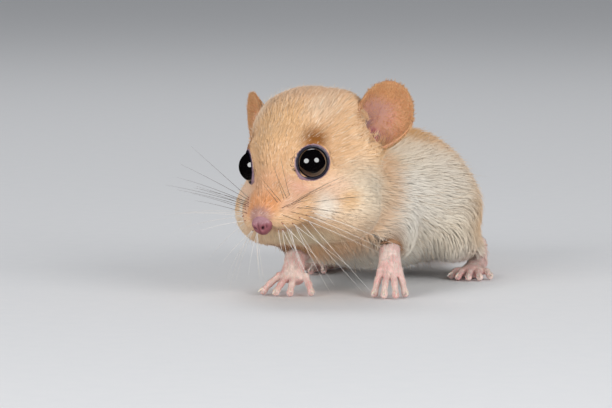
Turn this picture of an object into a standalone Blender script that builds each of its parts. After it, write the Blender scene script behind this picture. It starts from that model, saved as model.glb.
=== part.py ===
"""Hazel dormouse, life size, crouched on a level surface and looking out over its forepaws.

The animal faces -Y, its left side is +X and up is +Z. Sizes are in metres, and the outer
surface of each solid is the surface of the coat. Each soft form is a row of balls that a
voxel remesh fuses into one skin. Neighbouring forms are trimmed to a thin gap.
"""

import math

import bmesh
import bpy
from mathutils import Matrix, Vector

MM = 0.001

# Gaps and fusing
GAP = 0.3 * MM
FINE_VOXEL = 0.26 * MM
HEAD_VOXEL = 0.4 * MM
LID_VOXEL = 0.2 * MM
BODY_VOXEL = 0.6 * MM
FLOOR_SINK = 0.35 * MM
SWOLLEN_SHARE = 0.6
HEAD_SMOOTHING = 30
NOSE_VOXEL = 0.16 * MM
LEG_VOXEL = 0.45 * MM

# Triangles that each form is thinned to before its neighbours trim it
TRIANGLES = {
    "lid": 500,
    "rough head": 7000,
    "head": 3000,
    "rough nose": 700,
    "nose": 320,
    "ear": 640,
    "trunk": 2100,
    "forepaw": 620,
    "foreleg": 340,
    "hindfoot": 700,
    "hindleg": 480,
    "tail": 1000,
}

# Trunk
TRUNK_HALF_WIDTH = 13.8 * MM
TRUNK_HALF_HEIGHT = 12.7 * MM
BACK_HEIGHT = 26.4 * MM
RUMP_Y = 31.0 * MM
CHEST_Y = -10.0 * MM
SHOULDER_Y = -3.5 * MM

# Head: its origin is midway between the eyes
HEAD_AT = Vector((-5.2, -26.0, 21.6)) * MM
HEAD_TURN = math.radians(-11)
HEAD_PITCH = math.radians(17)
HEAD_ROLL = math.radians(-6)
HEAD = (
    Matrix.Translation(HEAD_AT)
    @ Matrix.Rotation(HEAD_TURN, 4, "Z")
    @ Matrix.Rotation(HEAD_PITCH, 4, "X")
    @ Matrix.Rotation(HEAD_ROLL, 4, "Y")
)

# Eyes
EYE_RADIUS = 2.65 * MM
EYE_AT = Vector((5.35, -0.3, 0.2)) * MM
EYE_SIDEWAYS = math.radians(58)
EYE_UPWARD = math.radians(14)
EYE_OPENING = 2.35 * MM
LID_THICKNESS = 0.5 * MM
LID_BALLS = 36
OPENING_DEPTH = 2.4 * MM
OPENING_FLARE = 1.0 * MM

# Mouth: the radius of the groove at each of its four points, and of the groove below the nose
MOUTH_RADII = (0.42, 0.38, 0.36, 0.15)
PHILTRUM_RADIUS = 0.3

# Ears
EAR_HEIGHT = 10.8 * MM
EAR_WIDTH = 8.8 * MM
EAR_DEPTH = 3.2 * MM
EAR_THICKNESS = 0.8 * MM
EAR_AT = Vector((12.6, 13.2, 2.9)) * MM
EAR_OPENS = Vector((0.66, -0.72, 0.22))
EAR_RISES = Vector((0.34, 0.42, 0.84))
EAR_NARROWING = 0.38
EAR_FOLD = 0.22

# Paws
DIGIT_RADIUS = 0.74 * MM
CLAW_LENGTH = 1.5 * MM
CLAW_RADIUS = 0.34 * MM

# Tail
TAIL_RADIUS = 3.8 * MM
TAIL_PARTINGS = (("tail_middle", 0.34), ("tail_tip", 0.68))


def clear_scene():
    """Removes every object, so that the script starts from an empty scene."""
    for thing in list(bpy.data.objects):
        bpy.data.objects.remove(thing, do_unlink=True)


def new_collection(name):
    """A collection linked to the scene."""
    made = bpy.data.collections.new(name)
    bpy.context.scene.collection.children.link(made)
    return made


def new_object(name, mesh, collection):
    """An object that holds mesh, linked to one collection."""
    made = bpy.data.objects.new(name, mesh)
    collection.objects.link(made)
    return made


def applied(thing):
    """Turns the modifiers of an object into plain mesh."""
    bpy.context.view_layer.update()
    graph = bpy.context.evaluated_depsgraph_get()
    mesh = bpy.data.meshes.new_from_object(thing.evaluated_get(graph))
    thing.modifiers.clear()
    thing.data = mesh
    return thing


def add_ball(clay, centre, radii, frame=Matrix()):
    """Adds an ellipsoid of these radii to the clay, which is a list of placed unit balls."""
    clay.append(frame @ Matrix.Translation(centre) @ Matrix.Diagonal((*radii, 1)))


def between(stations, share):
    """The smooth curve through the stations, read at a share from 0 to 1 of the way."""
    spans = len(stations) - 1
    index = min(int(share * spans), spans - 1)
    t = share * spans - index
    ring = [stations[max(0, min(spans, index + k))] for k in (-1, 0, 1, 2)]
    weights = (
        (-t + 2 * t**2 - t**3) / 2,
        (2 - 5 * t**2 + 3 * t**3) / 2,
        (t + 4 * t**2 - 3 * t**3) / 2,
        (-(t**2) + t**3) / 2,
    )
    return [
        sum((w * Vector(station[part]) for w, station in zip(weights, ring)), Vector((0, 0, 0)))
        for part in (0, 1)
    ]


def add_row(clay, stations, frame=Matrix(), balls=12):
    """Adds a row of balls along the smooth curve through stations of (centre, radii), in millimetres."""
    for step in range(balls):
        centre, radii = between(stations, step / (balls - 1))
        add_ball(clay, centre * MM, radii * MM, frame)


def mirrored(point, side):
    """A point for the left side (+1), or its mirror image for the right side (-1)."""
    return Vector((point[0] * side, point[1], point[2]))


def unit_ball():
    """A ball of radius 1, the clay that every soft form is pressed from."""
    work = bmesh.new()
    bmesh.ops.create_uvsphere(work, u_segments=20, v_segments=12, radius=1)
    mesh = bpy.data.meshes.new("Unit ball")
    work.to_mesh(mesh)
    work.free()
    return mesh


def pressed(name, clay):
    """One mesh that holds every ball of the clay."""
    work = bmesh.new()
    for place in clay:
        ball = UNIT_BALL.copy()
        ball.transform(place)
        work.from_mesh(ball)
        bpy.data.meshes.remove(ball)
    mesh = bpy.data.meshes.new(name)
    work.to_mesh(mesh)
    work.free()
    return mesh


def fused(name, clay, voxel, smoothing, triangles):
    """One closed skin round all the clay, smoothed and thinned to about this many triangles."""
    skin = new_object(name, pressed(name, clay), PARTS)
    remesh = skin.modifiers.new("Fuse", "REMESH")
    remesh.mode = "VOXEL"
    remesh.voxel_size = voxel
    smooth = skin.modifiers.new("Smooth", "SMOOTH")
    smooth.factor = 0.5
    smooth.iterations = smoothing
    applied(skin)
    return thinned(skin, triangles)


def thinned(skin, triangles):
    """Collapses a mesh to about this many triangles."""
    count = sum(len(face.vertices) - 2 for face in skin.data.polygons)
    decimate = skin.modifiers.new("Thin", "DECIMATE")
    decimate.ratio = min(1.0, triangles / count)
    return applied(skin)


def keep_largest(skin):
    """Keeps the largest closed surface of a mesh and drops loose scraps."""
    work = bmesh.new()
    work.from_mesh(skin.data)
    left = set(work.verts)
    islands = []
    while left:
        island, edge = set(), [left.pop()]
        while edge:
            vert = edge.pop()
            island.add(vert)
            for link in vert.link_edges:
                other = link.other_vert(vert)
                if other in left:
                    left.remove(other)
                    edge.append(other)
        islands.append(island)
    islands.sort(key=len)
    scraps = [vert for island in islands[:-1] for vert in island]
    bmesh.ops.delete(work, geom=scraps, context="VERTS")
    work.to_mesh(skin.data)
    work.free()
    return skin


def combined(skin, others, operation):
    """Joins others to the skin, or cuts them from it, and removes them."""
    group = bpy.data.collections.new("Tools")
    for other in others:
        group.objects.link(other)
    boolean = skin.modifiers.new("Combine", "BOOLEAN")
    boolean.operation = operation
    boolean.operand_type = "COLLECTION"
    boolean.collection = group
    boolean.solver = "MANIFOLD"
    applied(skin)
    for other in others:
        bpy.data.objects.remove(other, do_unlink=True)
    bpy.data.collections.remove(group)
    return keep_largest(skin)


def swollen(neighbour):
    """A helper copy of a neighbour, grown by the gap that parts two nodes."""
    copy = new_object(neighbour.name + "_swollen", neighbour.data.copy(), HELPERS)
    grow = copy.modifiers.new("Grow", "DISPLACE")
    grow.mid_level = 0
    grow.strength = GAP
    return thinned(applied(copy), len(copy.data.polygons) * SWOLLEN_SHARE)


def trim(skin, *neighbours):
    """Cuts a node back so that it meets its neighbours face to face, a gap away."""
    for neighbour in neighbours:
        combined(skin, [swollen(neighbour)], "DIFFERENCE")
    return skin


def cut_flat(skin, point, normal):
    """Cuts a node with a plane, keeps the side that the normal points to and closes the cut."""
    work = bmesh.new()
    work.from_mesh(skin.data)
    everything = work.verts[:] + work.edges[:] + work.faces[:]
    cut = bmesh.ops.bisect_plane(
        work, geom=everything, dist=1e-7, plane_co=point, plane_no=normal, clear_inner=True
    )
    rim = [e for e in cut["geom_cut"] if isinstance(e, bmesh.types.BMEdge)]
    bmesh.ops.holes_fill(work, edges=rim)
    bmesh.ops.triangulate(work, faces=work.faces[:])
    work.to_mesh(skin.data)
    work.free()
    return keep_largest(skin)


def stand_on_floor(skin):
    """Gives a node a flat where it would reach below the floor."""
    return cut_flat(skin, Vector((0, 0, 0)), Vector((0, 0, 1)))


def ball_object(name, centre, radii, frame=Matrix(), segments=24, rings=14):
    """A single ellipsoid as an object of its own."""
    work = bmesh.new()
    place = frame @ Matrix.Translation(centre) @ Matrix.Diagonal((*radii, 1))
    bmesh.ops.create_uvsphere(work, u_segments=segments, v_segments=rings, radius=1, matrix=place)
    mesh = bpy.data.meshes.new(name)
    work.to_mesh(mesh)
    work.free()
    return new_object(name, mesh, HELPERS)


def tube_object(name, points, radii, frame=Matrix()):
    """A round tube through points, with the radius given at each, as a closed mesh."""
    curve = bpy.data.curves.new(name, "CURVE")
    curve.dimensions = "3D"
    curve.bevel_depth = 1.0
    curve.bevel_resolution = 1
    curve.use_fill_caps = True
    curve.resolution_u = 1
    spline = curve.splines.new("POLY")
    spline.points.add(len(points) - 1)
    for knot, point, radius in zip(spline.points, points, radii):
        knot.co = (*(frame @ (Vector(point) * MM)), 1)
        knot.radius = radius * MM
    guide = bpy.data.objects.new(name + "_curve", curve)
    HELPERS.objects.link(guide)
    bpy.context.view_layer.update()
    graph = bpy.context.evaluated_depsgraph_get()
    mesh = bpy.data.meshes.new_from_object(guide.evaluated_get(graph))
    bpy.data.objects.remove(guide, do_unlink=True)
    work = bmesh.new()
    work.from_mesh(mesh)
    bmesh.ops.remove_doubles(work, verts=work.verts[:], dist=1e-6)
    bmesh.ops.recalc_face_normals(work, faces=work.faces[:])
    work.to_mesh(mesh)
    work.free()
    return new_object(name, mesh, HELPERS)


def eye_frame(side):
    """A frame at the centre of an eye, whose +Z looks out of the head."""
    look = Vector(
        (
            side * math.sin(EYE_SIDEWAYS) * math.cos(EYE_UPWARD),
            -math.cos(EYE_SIDEWAYS) * math.cos(EYE_UPWARD),
            math.sin(EYE_UPWARD),
        )
    )
    turn = look.to_track_quat("Z", "Y").to_matrix().to_4x4()
    return HEAD @ Matrix.Translation(mirrored(EYE_AT, side)) @ turn


def make_lid(side):
    """The ring of lid that stands round the eye, as a piece to join to the head."""
    clay = []
    frame = eye_frame(side)
    ring = EYE_OPENING + LID_THICKNESS
    height = math.sqrt((EYE_RADIUS + GAP) ** 2 - EYE_OPENING**2) - LID_THICKNESS / 2
    for step in range(LID_BALLS):
        angle = 2 * math.pi * step / LID_BALLS
        centre = Vector((math.cos(angle) * ring, math.sin(angle) * ring, height))
        add_ball(clay, centre, (LID_THICKNESS, LID_THICKNESS, LID_THICKNESS), frame)
    return fused("lid", clay, LID_VOXEL, 2, TRIANGLES["lid"])


def eye_cutter(side):
    """The tool for an eye: a cone that clears the opening in front of the globe."""
    height = math.sqrt((EYE_RADIUS + GAP) ** 2 - EYE_OPENING**2)
    narrow = EYE_OPENING - 0.1 * MM
    base = Matrix.Translation((0, 0, height - 0.2 * MM + OPENING_DEPTH / 2))
    work = bmesh.new()
    bmesh.ops.create_cone(
        work,
        cap_ends=True,
        segments=32,
        radius1=narrow,
        radius2=narrow + OPENING_FLARE,
        depth=OPENING_DEPTH,
        matrix=eye_frame(side) @ base,
    )
    mesh = bpy.data.meshes.new("eye_opening")
    work.to_mesh(mesh)
    work.free()
    return new_object("eye_opening", mesh, HELPERS)


def make_head():
    """The head: skull, muzzle, whisker pads, cheeks and jaw, with lids, sockets and the mouth."""
    clay = []
    add_ball(clay, Vector((0, 8.4, 1.5)) * MM, Vector((9.7, 10.2, 8.7)) * MM, HEAD)
    add_ball(clay, Vector((0, 1.6, 0.8)) * MM, Vector((6.6, 7.4, 6.4)) * MM, HEAD)
    muzzle = [
        ((0, 0.0, -2.0), (5.8, 5.0, 5.2)),
        ((0, -3.6, -3.2), (4.7, 4.0, 4.5)),
        ((0, -6.8, -4.4), (3.6, 3.2, 3.5)),
        ((0, -9.0, -5.1), (2.5, 2.1, 2.4)),
    ]
    add_row(clay, muzzle, HEAD, 9)
    jaw = [
        ((0, -5.6, -8.3), (2.0, 1.9, 1.3)),
        ((0, -2.4, -8.4), (3.2, 3.0, 2.2)),
        ((0, 2.2, -8.2), (5.8, 4.6, 4.4)),
        ((0, 8.0, -7.6), (8.4, 5.6, 5.4)),
    ]
    add_row(clay, jaw, HEAD, 9)
    for side in (1, -1):
        pad = [
            ((side * 1.9, -8.2, -6.3), (1.9, 1.7, 1.9)),
            ((side * 3.4, -6.0, -6.2), (2.6, 2.6, 2.4)),
            ((side * 4.8, -2.8, -5.8), (3.1, 3.2, 3.0)),
        ]
        add_row(clay, pad, HEAD, 6)
        cheek = [
            ((side * 5.4, -0.2, -5.0), (4.0, 4.0, 4.2)),
            ((side * 6.2, 3.8, -6.0), (5.2, 5.0, 5.6)),
            ((side * 5.6, 9.4, -4.2), (5.6, 5.4, 6.2)),
        ]
        add_row(clay, cheek, HEAD, 6)
        add_ball(clay, mirrored((4.3, 0.6, 2.4), side) * MM, Vector((2.6, 3.6, 2.5)) * MM, HEAD)
        root = mirrored(EAR_AT / MM + Vector((-3.9, -0.4, -3.4)), side)
        add_ball(clay, root * MM, Vector((3.0, 3.0, 3.2)) * MM, HEAD)
        crown = Vector((side * 4.8, 11.0, 3.8))
        add_ball(clay, crown * MM, Vector((5.4, 5.6, 5.0)) * MM, HEAD)
        lip = [
            ((side * 3.6, -4.2, -7.3), (2.5, 2.5, 2.1)),
            ((side * 5.2, -0.8, -7.5), (4.0, 4.0, 3.8)),
            ((side * 7.2, 3.2, -8.4), (6.0, 6.0, 6.0)),
        ]
        add_row(clay, lip, HEAD, 6)
    jowls = [
        ((-7.5, 3.4, -8.8), (6.0, 6.1, 6.1)),
        ((0, 3.4, -8.9), (6.6, 6.6, 5.9)),
        ((7.5, 3.4, -8.8), (6.0, 6.1, 6.1)),
    ]
    add_row(clay, jowls, HEAD, 9)
    head = fused("head", clay, HEAD_VOXEL, HEAD_SMOOTHING, TRIANGLES["rough head"])
    combined(head, [make_lid(side) for side in (1, -1)], "UNION")

    cutters = []
    for side in (1, -1):
        frame = eye_frame(side)
        cutters.append(ball_object("socket", Vector(), (EYE_RADIUS + GAP,) * 3, frame, 32, 20))
        cutters.append(eye_cutter(side))
        mouth = [(0, -9.6, -7.5), (side * 1.6, -8.5, -8.2), (side * 3.4, -5.7, -8.2)]
        mouth.append((side * 5.0, -3.0, -7.6))
        cutters.append(tube_object("mouth", mouth, MOUTH_RADII, HEAD))
    philtrum = [(0, -11.2, -5.5), (0, -10.3, -7.7)]
    cutters.append(tube_object("philtrum", philtrum, (PHILTRUM_RADIUS,) * 2, HEAD))
    combined(head, cutters, "DIFFERENCE")
    return thinned(head, TRIANGLES["head"])


def make_eye(side):
    """An eyeball, a plain globe that the lids hold."""
    name = "eye_left" if side > 0 else "eye_right"
    eye = ball_object(name, Vector(), (EYE_RADIUS,) * 3, eye_frame(side), 18, 10)
    HELPERS.objects.unlink(eye)
    PARTS.objects.link(eye)
    return eye


def make_nose(head):
    """The bare tip of the nose, with a nostril on each side."""
    clay = []
    add_ball(clay, Vector((0, -10.6, -5.2)) * MM, Vector((1.5, 1.3, 1.1)) * MM, HEAD)
    for side in (1, -1):
        place = mirrored((0.95, -10.4, -5.6), side) * MM
        add_ball(clay, place, Vector((1.0, 1.2, 1.0)) * MM, HEAD)
    nose = fused("nose", clay, NOSE_VOXEL, 2, TRIANGLES["rough nose"])
    nostrils = [
        tube_object(
            "nostril",
            [(side * 2.1, -12.0, -6.0), (side * 1.15, -11.1, -5.7), (side * 1.0, -10.6, -5.4)],
            (0.34, 0.3, 0.2),
            HEAD,
        )
        for side in (1, -1)
    ]
    combined(nose, nostrils, "DIFFERENCE")
    thinned(nose, TRIANGLES["nose"])
    return trim(nose, head)


def ear_frame(side):
    """A frame at the middle of an ear's rim: +Z looks out of the cup and +Y runs up the ear."""
    opening = mirrored(EAR_OPENS, side).normalized()
    upward = mirrored(EAR_RISES, side)
    across = upward.cross(opening).normalized()
    upward = opening.cross(across)
    turn = Matrix((across, upward, opening)).transposed().to_4x4()
    return HEAD @ Matrix.Translation(mirrored(EAR_AT, side)) @ turn


def make_ear(side, head):
    """A round cupped ear: a shallow bowl, deepest and narrowest near its root."""
    name = "ear_left" if side > 0 else "ear_right"
    work = bmesh.new()
    bmesh.ops.create_uvsphere(work, u_segments=28, v_segments=16, radius=1)
    bowl = work.verts[:] + work.edges[:] + work.faces[:]
    bmesh.ops.bisect_plane(
        work, geom=bowl, dist=1e-6, plane_co=(0, 0, 0.02), plane_no=(0, 0, 1), clear_outer=True
    )
    for vert in work.verts:
        height, depth = vert.co.y, -vert.co.z
        low = max(0.0, -height)
        narrow = 1.0 - EAR_NARROWING * low**1.5
        fold = EAR_FOLD * abs(vert.co.x) ** 3 * low
        vert.co = Vector(
            (
                vert.co.x * EAR_WIDTH / 2 * narrow,
                (height - 0.45 * depth) * EAR_HEIGHT / 2,
                -depth * EAR_DEPTH * (1.0 + 0.5 * low) + fold * EAR_DEPTH,
            )
        )
    mesh = bpy.data.meshes.new(name)
    work.to_mesh(mesh)
    work.free()
    mesh.transform(ear_frame(side))
    ear = new_object(name, mesh, PARTS)
    wall = ear.modifiers.new("Wall", "SOLIDIFY")
    wall.thickness = EAR_THICKNESS
    wall.offset = 0
    applied(ear)
    thinned(ear, TRIANGLES["ear"])
    return trim(ear, head)


def make_trunk(head):
    """Neck, chest, belly and rump in one rounded mass, parted behind the shoulders."""
    clay = []
    wide, tall = TRUNK_HALF_WIDTH / MM, TRUNK_HALF_HEIGHT / MM
    top, rump, chest = BACK_HEIGHT / MM, RUMP_Y / MM, CHEST_Y / MM
    stations = [
        ((-0.6, chest + 7, top - 12.8), (wide * 0.90, 8.5, tall * 0.90)),
        ((-0.2, chest + 13, top - 12.4), (wide * 0.95, 8.5, tall * 0.96)),
        ((0.0, chest + 20, top - tall), (wide * 0.99, 9.5, tall)),
        ((0.3, rump - 16, top - tall - 0.2), (wide, 10.0, tall * 0.97)),
        ((0.5, rump - 10, top - tall - 1.8), (wide * 0.92, 9.5, tall * 0.82)),
    ]
    add_row(clay, stations, balls=14)
    throat = [
        ((-0.8, -3.0, 13.9), (12.6, 6.0, 11.6)),
        ((-2.4, -9.0, 14.6), (13.2, 6.0, 11.0)),
        ((-3.8, -15.5, 15.2), (13.3, 5.8, 10.0)),
    ]
    add_row(clay, throat, balls=8)
    trunk = fused("torso", clay, BODY_VOXEL, 10, TRIANGLES["trunk"])
    neck = new_object("neck", trunk.data.copy(), PARTS)
    part = Vector((0, SHOULDER_Y, BACK_HEIGHT / 2))
    behind = Vector((0.12, 1.0, 0.22)).normalized()
    cut_flat(trunk, part + behind * GAP / 2, behind)
    cut_flat(neck, part - behind * GAP / 2, -behind)
    return trim(trunk, head), trim(neck, head)


def digit_path(knuckle, tip, arch):
    """Points along a bent digit: it leaves the knuckle, arches and lands on its tip."""
    knuckle, tip = Vector(knuckle), Vector(tip)
    crest = (knuckle + tip) / 2 + Vector((0, 0, arch))
    steps = 6
    return [
        knuckle * (1 - t) ** 2 + crest * 2 * t * (1 - t) + tip * t**2
        for t in (step / steps for step in range(steps + 1))
    ]


def add_digit(clay, knuckle, tip, arch, radius):
    """Adds a digit with its end pad, and returns the point and way in which its claw leaves."""
    path = digit_path(knuckle, tip, arch)
    radii = [radius * factor for factor in (1.0, 0.98, 0.92, 0.88, 0.86, 0.9, 1.0)]
    for before, after, start, end in zip(path, path[1:], radii, radii[1:]):
        for share in (0.0, 0.5):
            size = start + (end - start) * share
            add_ball(clay, before.lerp(after, share) * MM, (size * MM,) * 3)
    add_ball(clay, path[-1] * MM, (radii[-1] * MM,) * 3)
    way = (path[-1] - path[-3]).normalized()
    return path[-1], way


def claw_object(start, way):
    """A thin claw that curves down to the floor ahead of its digit."""
    length, radius = CLAW_LENGTH / MM, CLAW_RADIUS / MM
    level = Vector((way.x, way.y, 0)).normalized()
    root = start + Vector((0, 0, 0.35)) - level * 0.2
    points = [
        root,
        root + level * length * 0.55 + Vector((0, 0, 0.05)),
        root + level * length * 0.85 - Vector((0, 0, 0.2)),
        root + level * length * 1.05 - Vector((0, 0, 0.55)),
    ]
    return tube_object("claw", points, (radius, radius * 0.9, radius * 0.55, radius * 0.16))


def make_forepaw(side, wrist, heading, fingers_ahead):
    """A forepaw on its fingertips: the back of the hand slopes down to four spread fingers."""
    name = "forepaw_left" if side > 0 else "forepaw_right"
    turn = Matrix.Rotation(heading, 3, "Z")
    clay = []
    knuckle_drop, knuckle_ahead = 3.3, 2.7
    knuckles = Vector(wrist) + turn @ Vector((0, -knuckle_ahead, -knuckle_drop))
    add_row(
        clay,
        [
            (wrist, (1.75, 1.6, 1.6)),
            (Vector(wrist).lerp(knuckles, 0.5), (2.0, 1.7, 1.5)),
            (knuckles, (2.3, 1.6, 1.2)),
        ],
        Matrix(),
        6,
    )
    heel = Vector(wrist) + turn @ Vector((0, -0.6, -3.6))
    add_ball(clay, heel * MM, Vector((1.7, 1.2, 1.3)) * MM)
    claws = []
    sink = FLOOR_SINK / MM
    for spread, reach in fingers_ahead:
        angle = math.radians(spread)
        base = knuckles + turn @ Vector((spread * 0.088, -0.5 + abs(spread) * 0.01, 0.1))
        way = turn @ Matrix.Rotation(angle, 3, "Z") @ Vector((0, -1, 0))
        tip = base + way * reach
        tip.z = DIGIT_RADIUS / MM - sink
        start, leaving = add_digit(clay, base, tip, 0.35, DIGIT_RADIUS / MM)
        claws.append(claw_object(start, leaving))
    paw = fused(name, clay, FINE_VOXEL, 3, TRIANGLES["forepaw"])
    combined(paw, claws, "UNION")
    return stand_on_floor(paw)


def make_foreleg(side, shoulder, elbow, wrist, neighbours):
    """The short foreleg, hidden in the coat down to the wrist."""
    name = "foreleg_left" if side > 0 else "foreleg_right"
    clay = []
    stations = [
        (shoulder, (4.6, 5.6, 5.4)),
        (elbow, (4.0, 4.2, 4.2)),
        (wrist, (2.5, 2.4, 2.3)),
    ]
    add_row(clay, stations, balls=9)
    leg = fused(name, clay, LEG_VOXEL, 4, TRIANGLES["foreleg"])
    return trim(leg, *neighbours)


def make_hindfoot(side, heel, ball, toes):
    """A long hind foot flat on the floor, with five toes."""
    name = "hindfoot_left" if side > 0 else "hindfoot_right"
    clay = []
    heel, ball = mirrored(heel, side), mirrored(ball, side)
    middle = heel.lerp(ball, 0.55)
    add_row(
        clay, [(heel, (1.9, 2.0, 2.0)), (middle, (1.75, 2.2, 1.6)), (ball, (2.4, 1.7, 1.45))], balls=8
    )
    forward = (ball - heel).normalized()
    forward.z = 0
    claws = []
    sink = FLOOR_SINK / MM
    for spread, reach, back in toes:
        way = Matrix.Rotation(math.radians(spread) * side, 3, "Z") @ forward
        across = Matrix.Rotation(math.radians(90), 3, "Z") @ forward * side
        base = ball + across * spread * 0.072 - forward * back
        base.z = 1.25
        tip = base + way * reach
        tip.z = DIGIT_RADIUS / MM - sink
        start, leaving = add_digit(clay, base, tip, 0.7, DIGIT_RADIUS / MM)
        claws.append(claw_object(start, leaving))
    foot = fused(name, clay, FINE_VOXEL, 3, TRIANGLES["hindfoot"])
    combined(foot, claws, "UNION")
    return stand_on_floor(foot)


def make_hindleg(side, heel, trunk, foot):
    """Thigh and shank folded against the flank."""
    name = "hindleg_left" if side > 0 else "hindleg_right"
    clay = []
    thigh = [
        ((side * 9.0, 18.0, 11.2), (5.4, 8.6, 7.4)),
        ((side * 10.4, 12.5, 8.6), (4.8, 6.4, 6.2)),
    ]
    add_row(clay, thigh, balls=6)
    shank = [
        ((side * 11.6, 9.8, 6.6), (3.9, 4.2, 4.2)),
        ((side * 11.9, 17.0, 5.0), (3.2, 4.0, 3.4)),
        (mirrored(heel, side) + Vector((0, 0, 1.6)), (2.4, 2.6, 2.4)),
    ]
    add_row(clay, shank, balls=8)
    leg = fused(name, clay, LEG_VOXEL, 5, TRIANGLES["hindleg"])
    return trim(leg, trunk, foot)


def make_tail(trunk):
    """The furry tail, laid on the floor behind, in three lengths."""
    radius = TAIL_RADIUS / MM
    sink = FLOOR_SINK / MM
    route = [
        ((0.4, RUMP_Y / MM - 6.0, 8.4), 3.2),
        ((0.0, RUMP_Y / MM + 1.5, 4.8), 3.4),
        ((-1.4, RUMP_Y / MM + 9.0, 3.7 - sink), 3.7),
        ((-5.0, RUMP_Y / MM + 17.5, radius - sink), radius),
        ((-11.0, RUMP_Y / MM + 25.0, radius - sink), radius),
        ((-19.0, RUMP_Y / MM + 30.4, 3.6 - sink), 3.6),
        ((-28.0, RUMP_Y / MM + 32.6, 2.8 - sink), 2.8),
        ((-34.5, RUMP_Y / MM + 32.4, 1.3 - sink), 1.3),
    ]
    clay = []
    add_row(clay, [(point, (size,) * 3) for point, size in route], balls=60)
    tail = fused("tail_base", clay, LEG_VOXEL, 3, TRIANGLES["tail"])
    stand_on_floor(tail)
    lengths = [tail]
    for name, share in TAIL_PARTINGS:
        stations = [(point, (size,) * 3) for point, size in route]
        here, _ = between(stations, share)
        onward = (between(stations, share + 0.01)[0] - here).normalized()
        rest = new_object(name, lengths[-1].data.copy(), PARTS)
        cut_flat(lengths[-1], (here * MM) - onward * GAP / 2, -onward)
        cut_flat(rest, (here * MM) + onward * GAP / 2, onward)
        lengths.append(rest)
    trim(tail, trunk)
    return lengths


def paint(skins, name, colour, roughness):
    """Gives each skin one Principled material and smooth shading."""
    material = bpy.data.materials.new(name)
    material.use_nodes = True
    shader = material.node_tree.nodes["Principled BSDF"]
    shader.inputs["Base Color"].default_value = (*colour, 1)
    shader.inputs["Roughness"].default_value = roughness
    for skin in skins:
        skin.data.materials.clear()
        skin.data.materials.append(material)
        skin.data.shade_smooth()
        skin.data.set_sharp_from_angle(angle=math.radians(50))


def centre_on_origin(skins):
    """Moves everything so that the middle of the base of the bounding box is the origin."""
    points = [vert.co for skin in skins for vert in skin.data.vertices]
    low = Vector([min(p[k] for p in points) for k in range(3)])
    high = Vector([max(p[k] for p in points) for k in range(3)])
    shift = Matrix.Translation(Vector((-(low.x + high.x) / 2, -(low.y + high.y) / 2, -low.z)))
    for skin in skins:
        skin.data.transform(shift)


def build_dormouse():
    """Builds every node and paints it."""
    head = make_head()
    eyes = [make_eye(side) for side in (1, -1)]
    nose = make_nose(head)
    ears = [make_ear(side, head) for side in (1, -1)]
    trunk, neck = make_trunk(head)
    wrists = {1: Vector((8.8, -14.4, 7.2)), -1: Vector((-6.6, -16.6, 6.0))}
    headings = {1: math.radians(19), -1: math.radians(4)}
    fingers = {
        1: ((-19, 3.5), (-6, 4.5), (6, 4.6), (19, 3.6)),
        -1: ((-26, 3.8), (-8, 4.5), (7, 4.5), (30, 3.6)),
    }
    paws = [make_forepaw(side, wrists[side], headings[side], fingers[side]) for side in (1, -1)]
    legs = []
    for side, paw in zip((1, -1), paws):
        elbow = wrists[side] + Vector((-side * 1.2, 5.6, 1.4))
        shoulder = wrists[side] + Vector((-side * 2.6, 8.0, 5.0))
        neighbours = (head, paw)
        legs.append(make_foreleg(side, shoulder, elbow, wrists[side], neighbours))
    trim(neck, *ears, *paws, *legs)
    trim(trunk, *legs)
    heel, ball = Vector((12.0, 23.5, 1.7)), Vector((14.2, 12.6, 1.15))
    toes = ((-26, 2.9, 0.9), (-13, 3.9, 0.1), (0, 4.2, -0.1), (13, 4.0, 0.1), (27, 3.1, 1.0))
    for side in (1, -1):
        foot = make_hindfoot(side, heel, ball, toes)
        paws.append(foot)
        legs.append(make_hindleg(side, heel, trunk, foot))
    tail = make_tail(trunk)
    paint([head, neck, trunk, *legs, *tail], "Golden coat", (0.62, 0.38, 0.18), 0.9)
    paint(ears, "Ear skin", (0.62, 0.36, 0.26), 0.8)
    paint(paws, "Paw skin", (0.80, 0.52, 0.45), 0.6)
    paint([nose], "Nose skin", (0.55, 0.26, 0.25), 0.45)
    paint(eyes, "Eye", (0.01, 0.008, 0.008), 0.05)
    centre_on_origin(list(PARTS.objects))


clear_scene()
PARTS = new_collection("Hazel dormouse")
HELPERS = new_collection("Helpers")
HELPERS.hide_render = True
UNIT_BALL = unit_ball()
build_dormouse()
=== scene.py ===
# %% [markdown]
# # A hazel dormouse, life size
#
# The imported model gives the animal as 19 plain solids, whose outside is the outside of its coat.
# This script dresses them. One skin is drawn under the coat, and over it lie many thin tufts of
# hair, each a small closed mesh. Eyes, lids, nose, ears, paws, claws and whiskers are pieces of
# their own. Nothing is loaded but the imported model, and every draw of chance has a seed.

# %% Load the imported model
import math

import bmesh
import bpy
import numpy as np
from mathutils import Matrix, Vector
from mathutils.bvhtree import BVHTree
from mathutils.kdtree import KDTree


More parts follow.
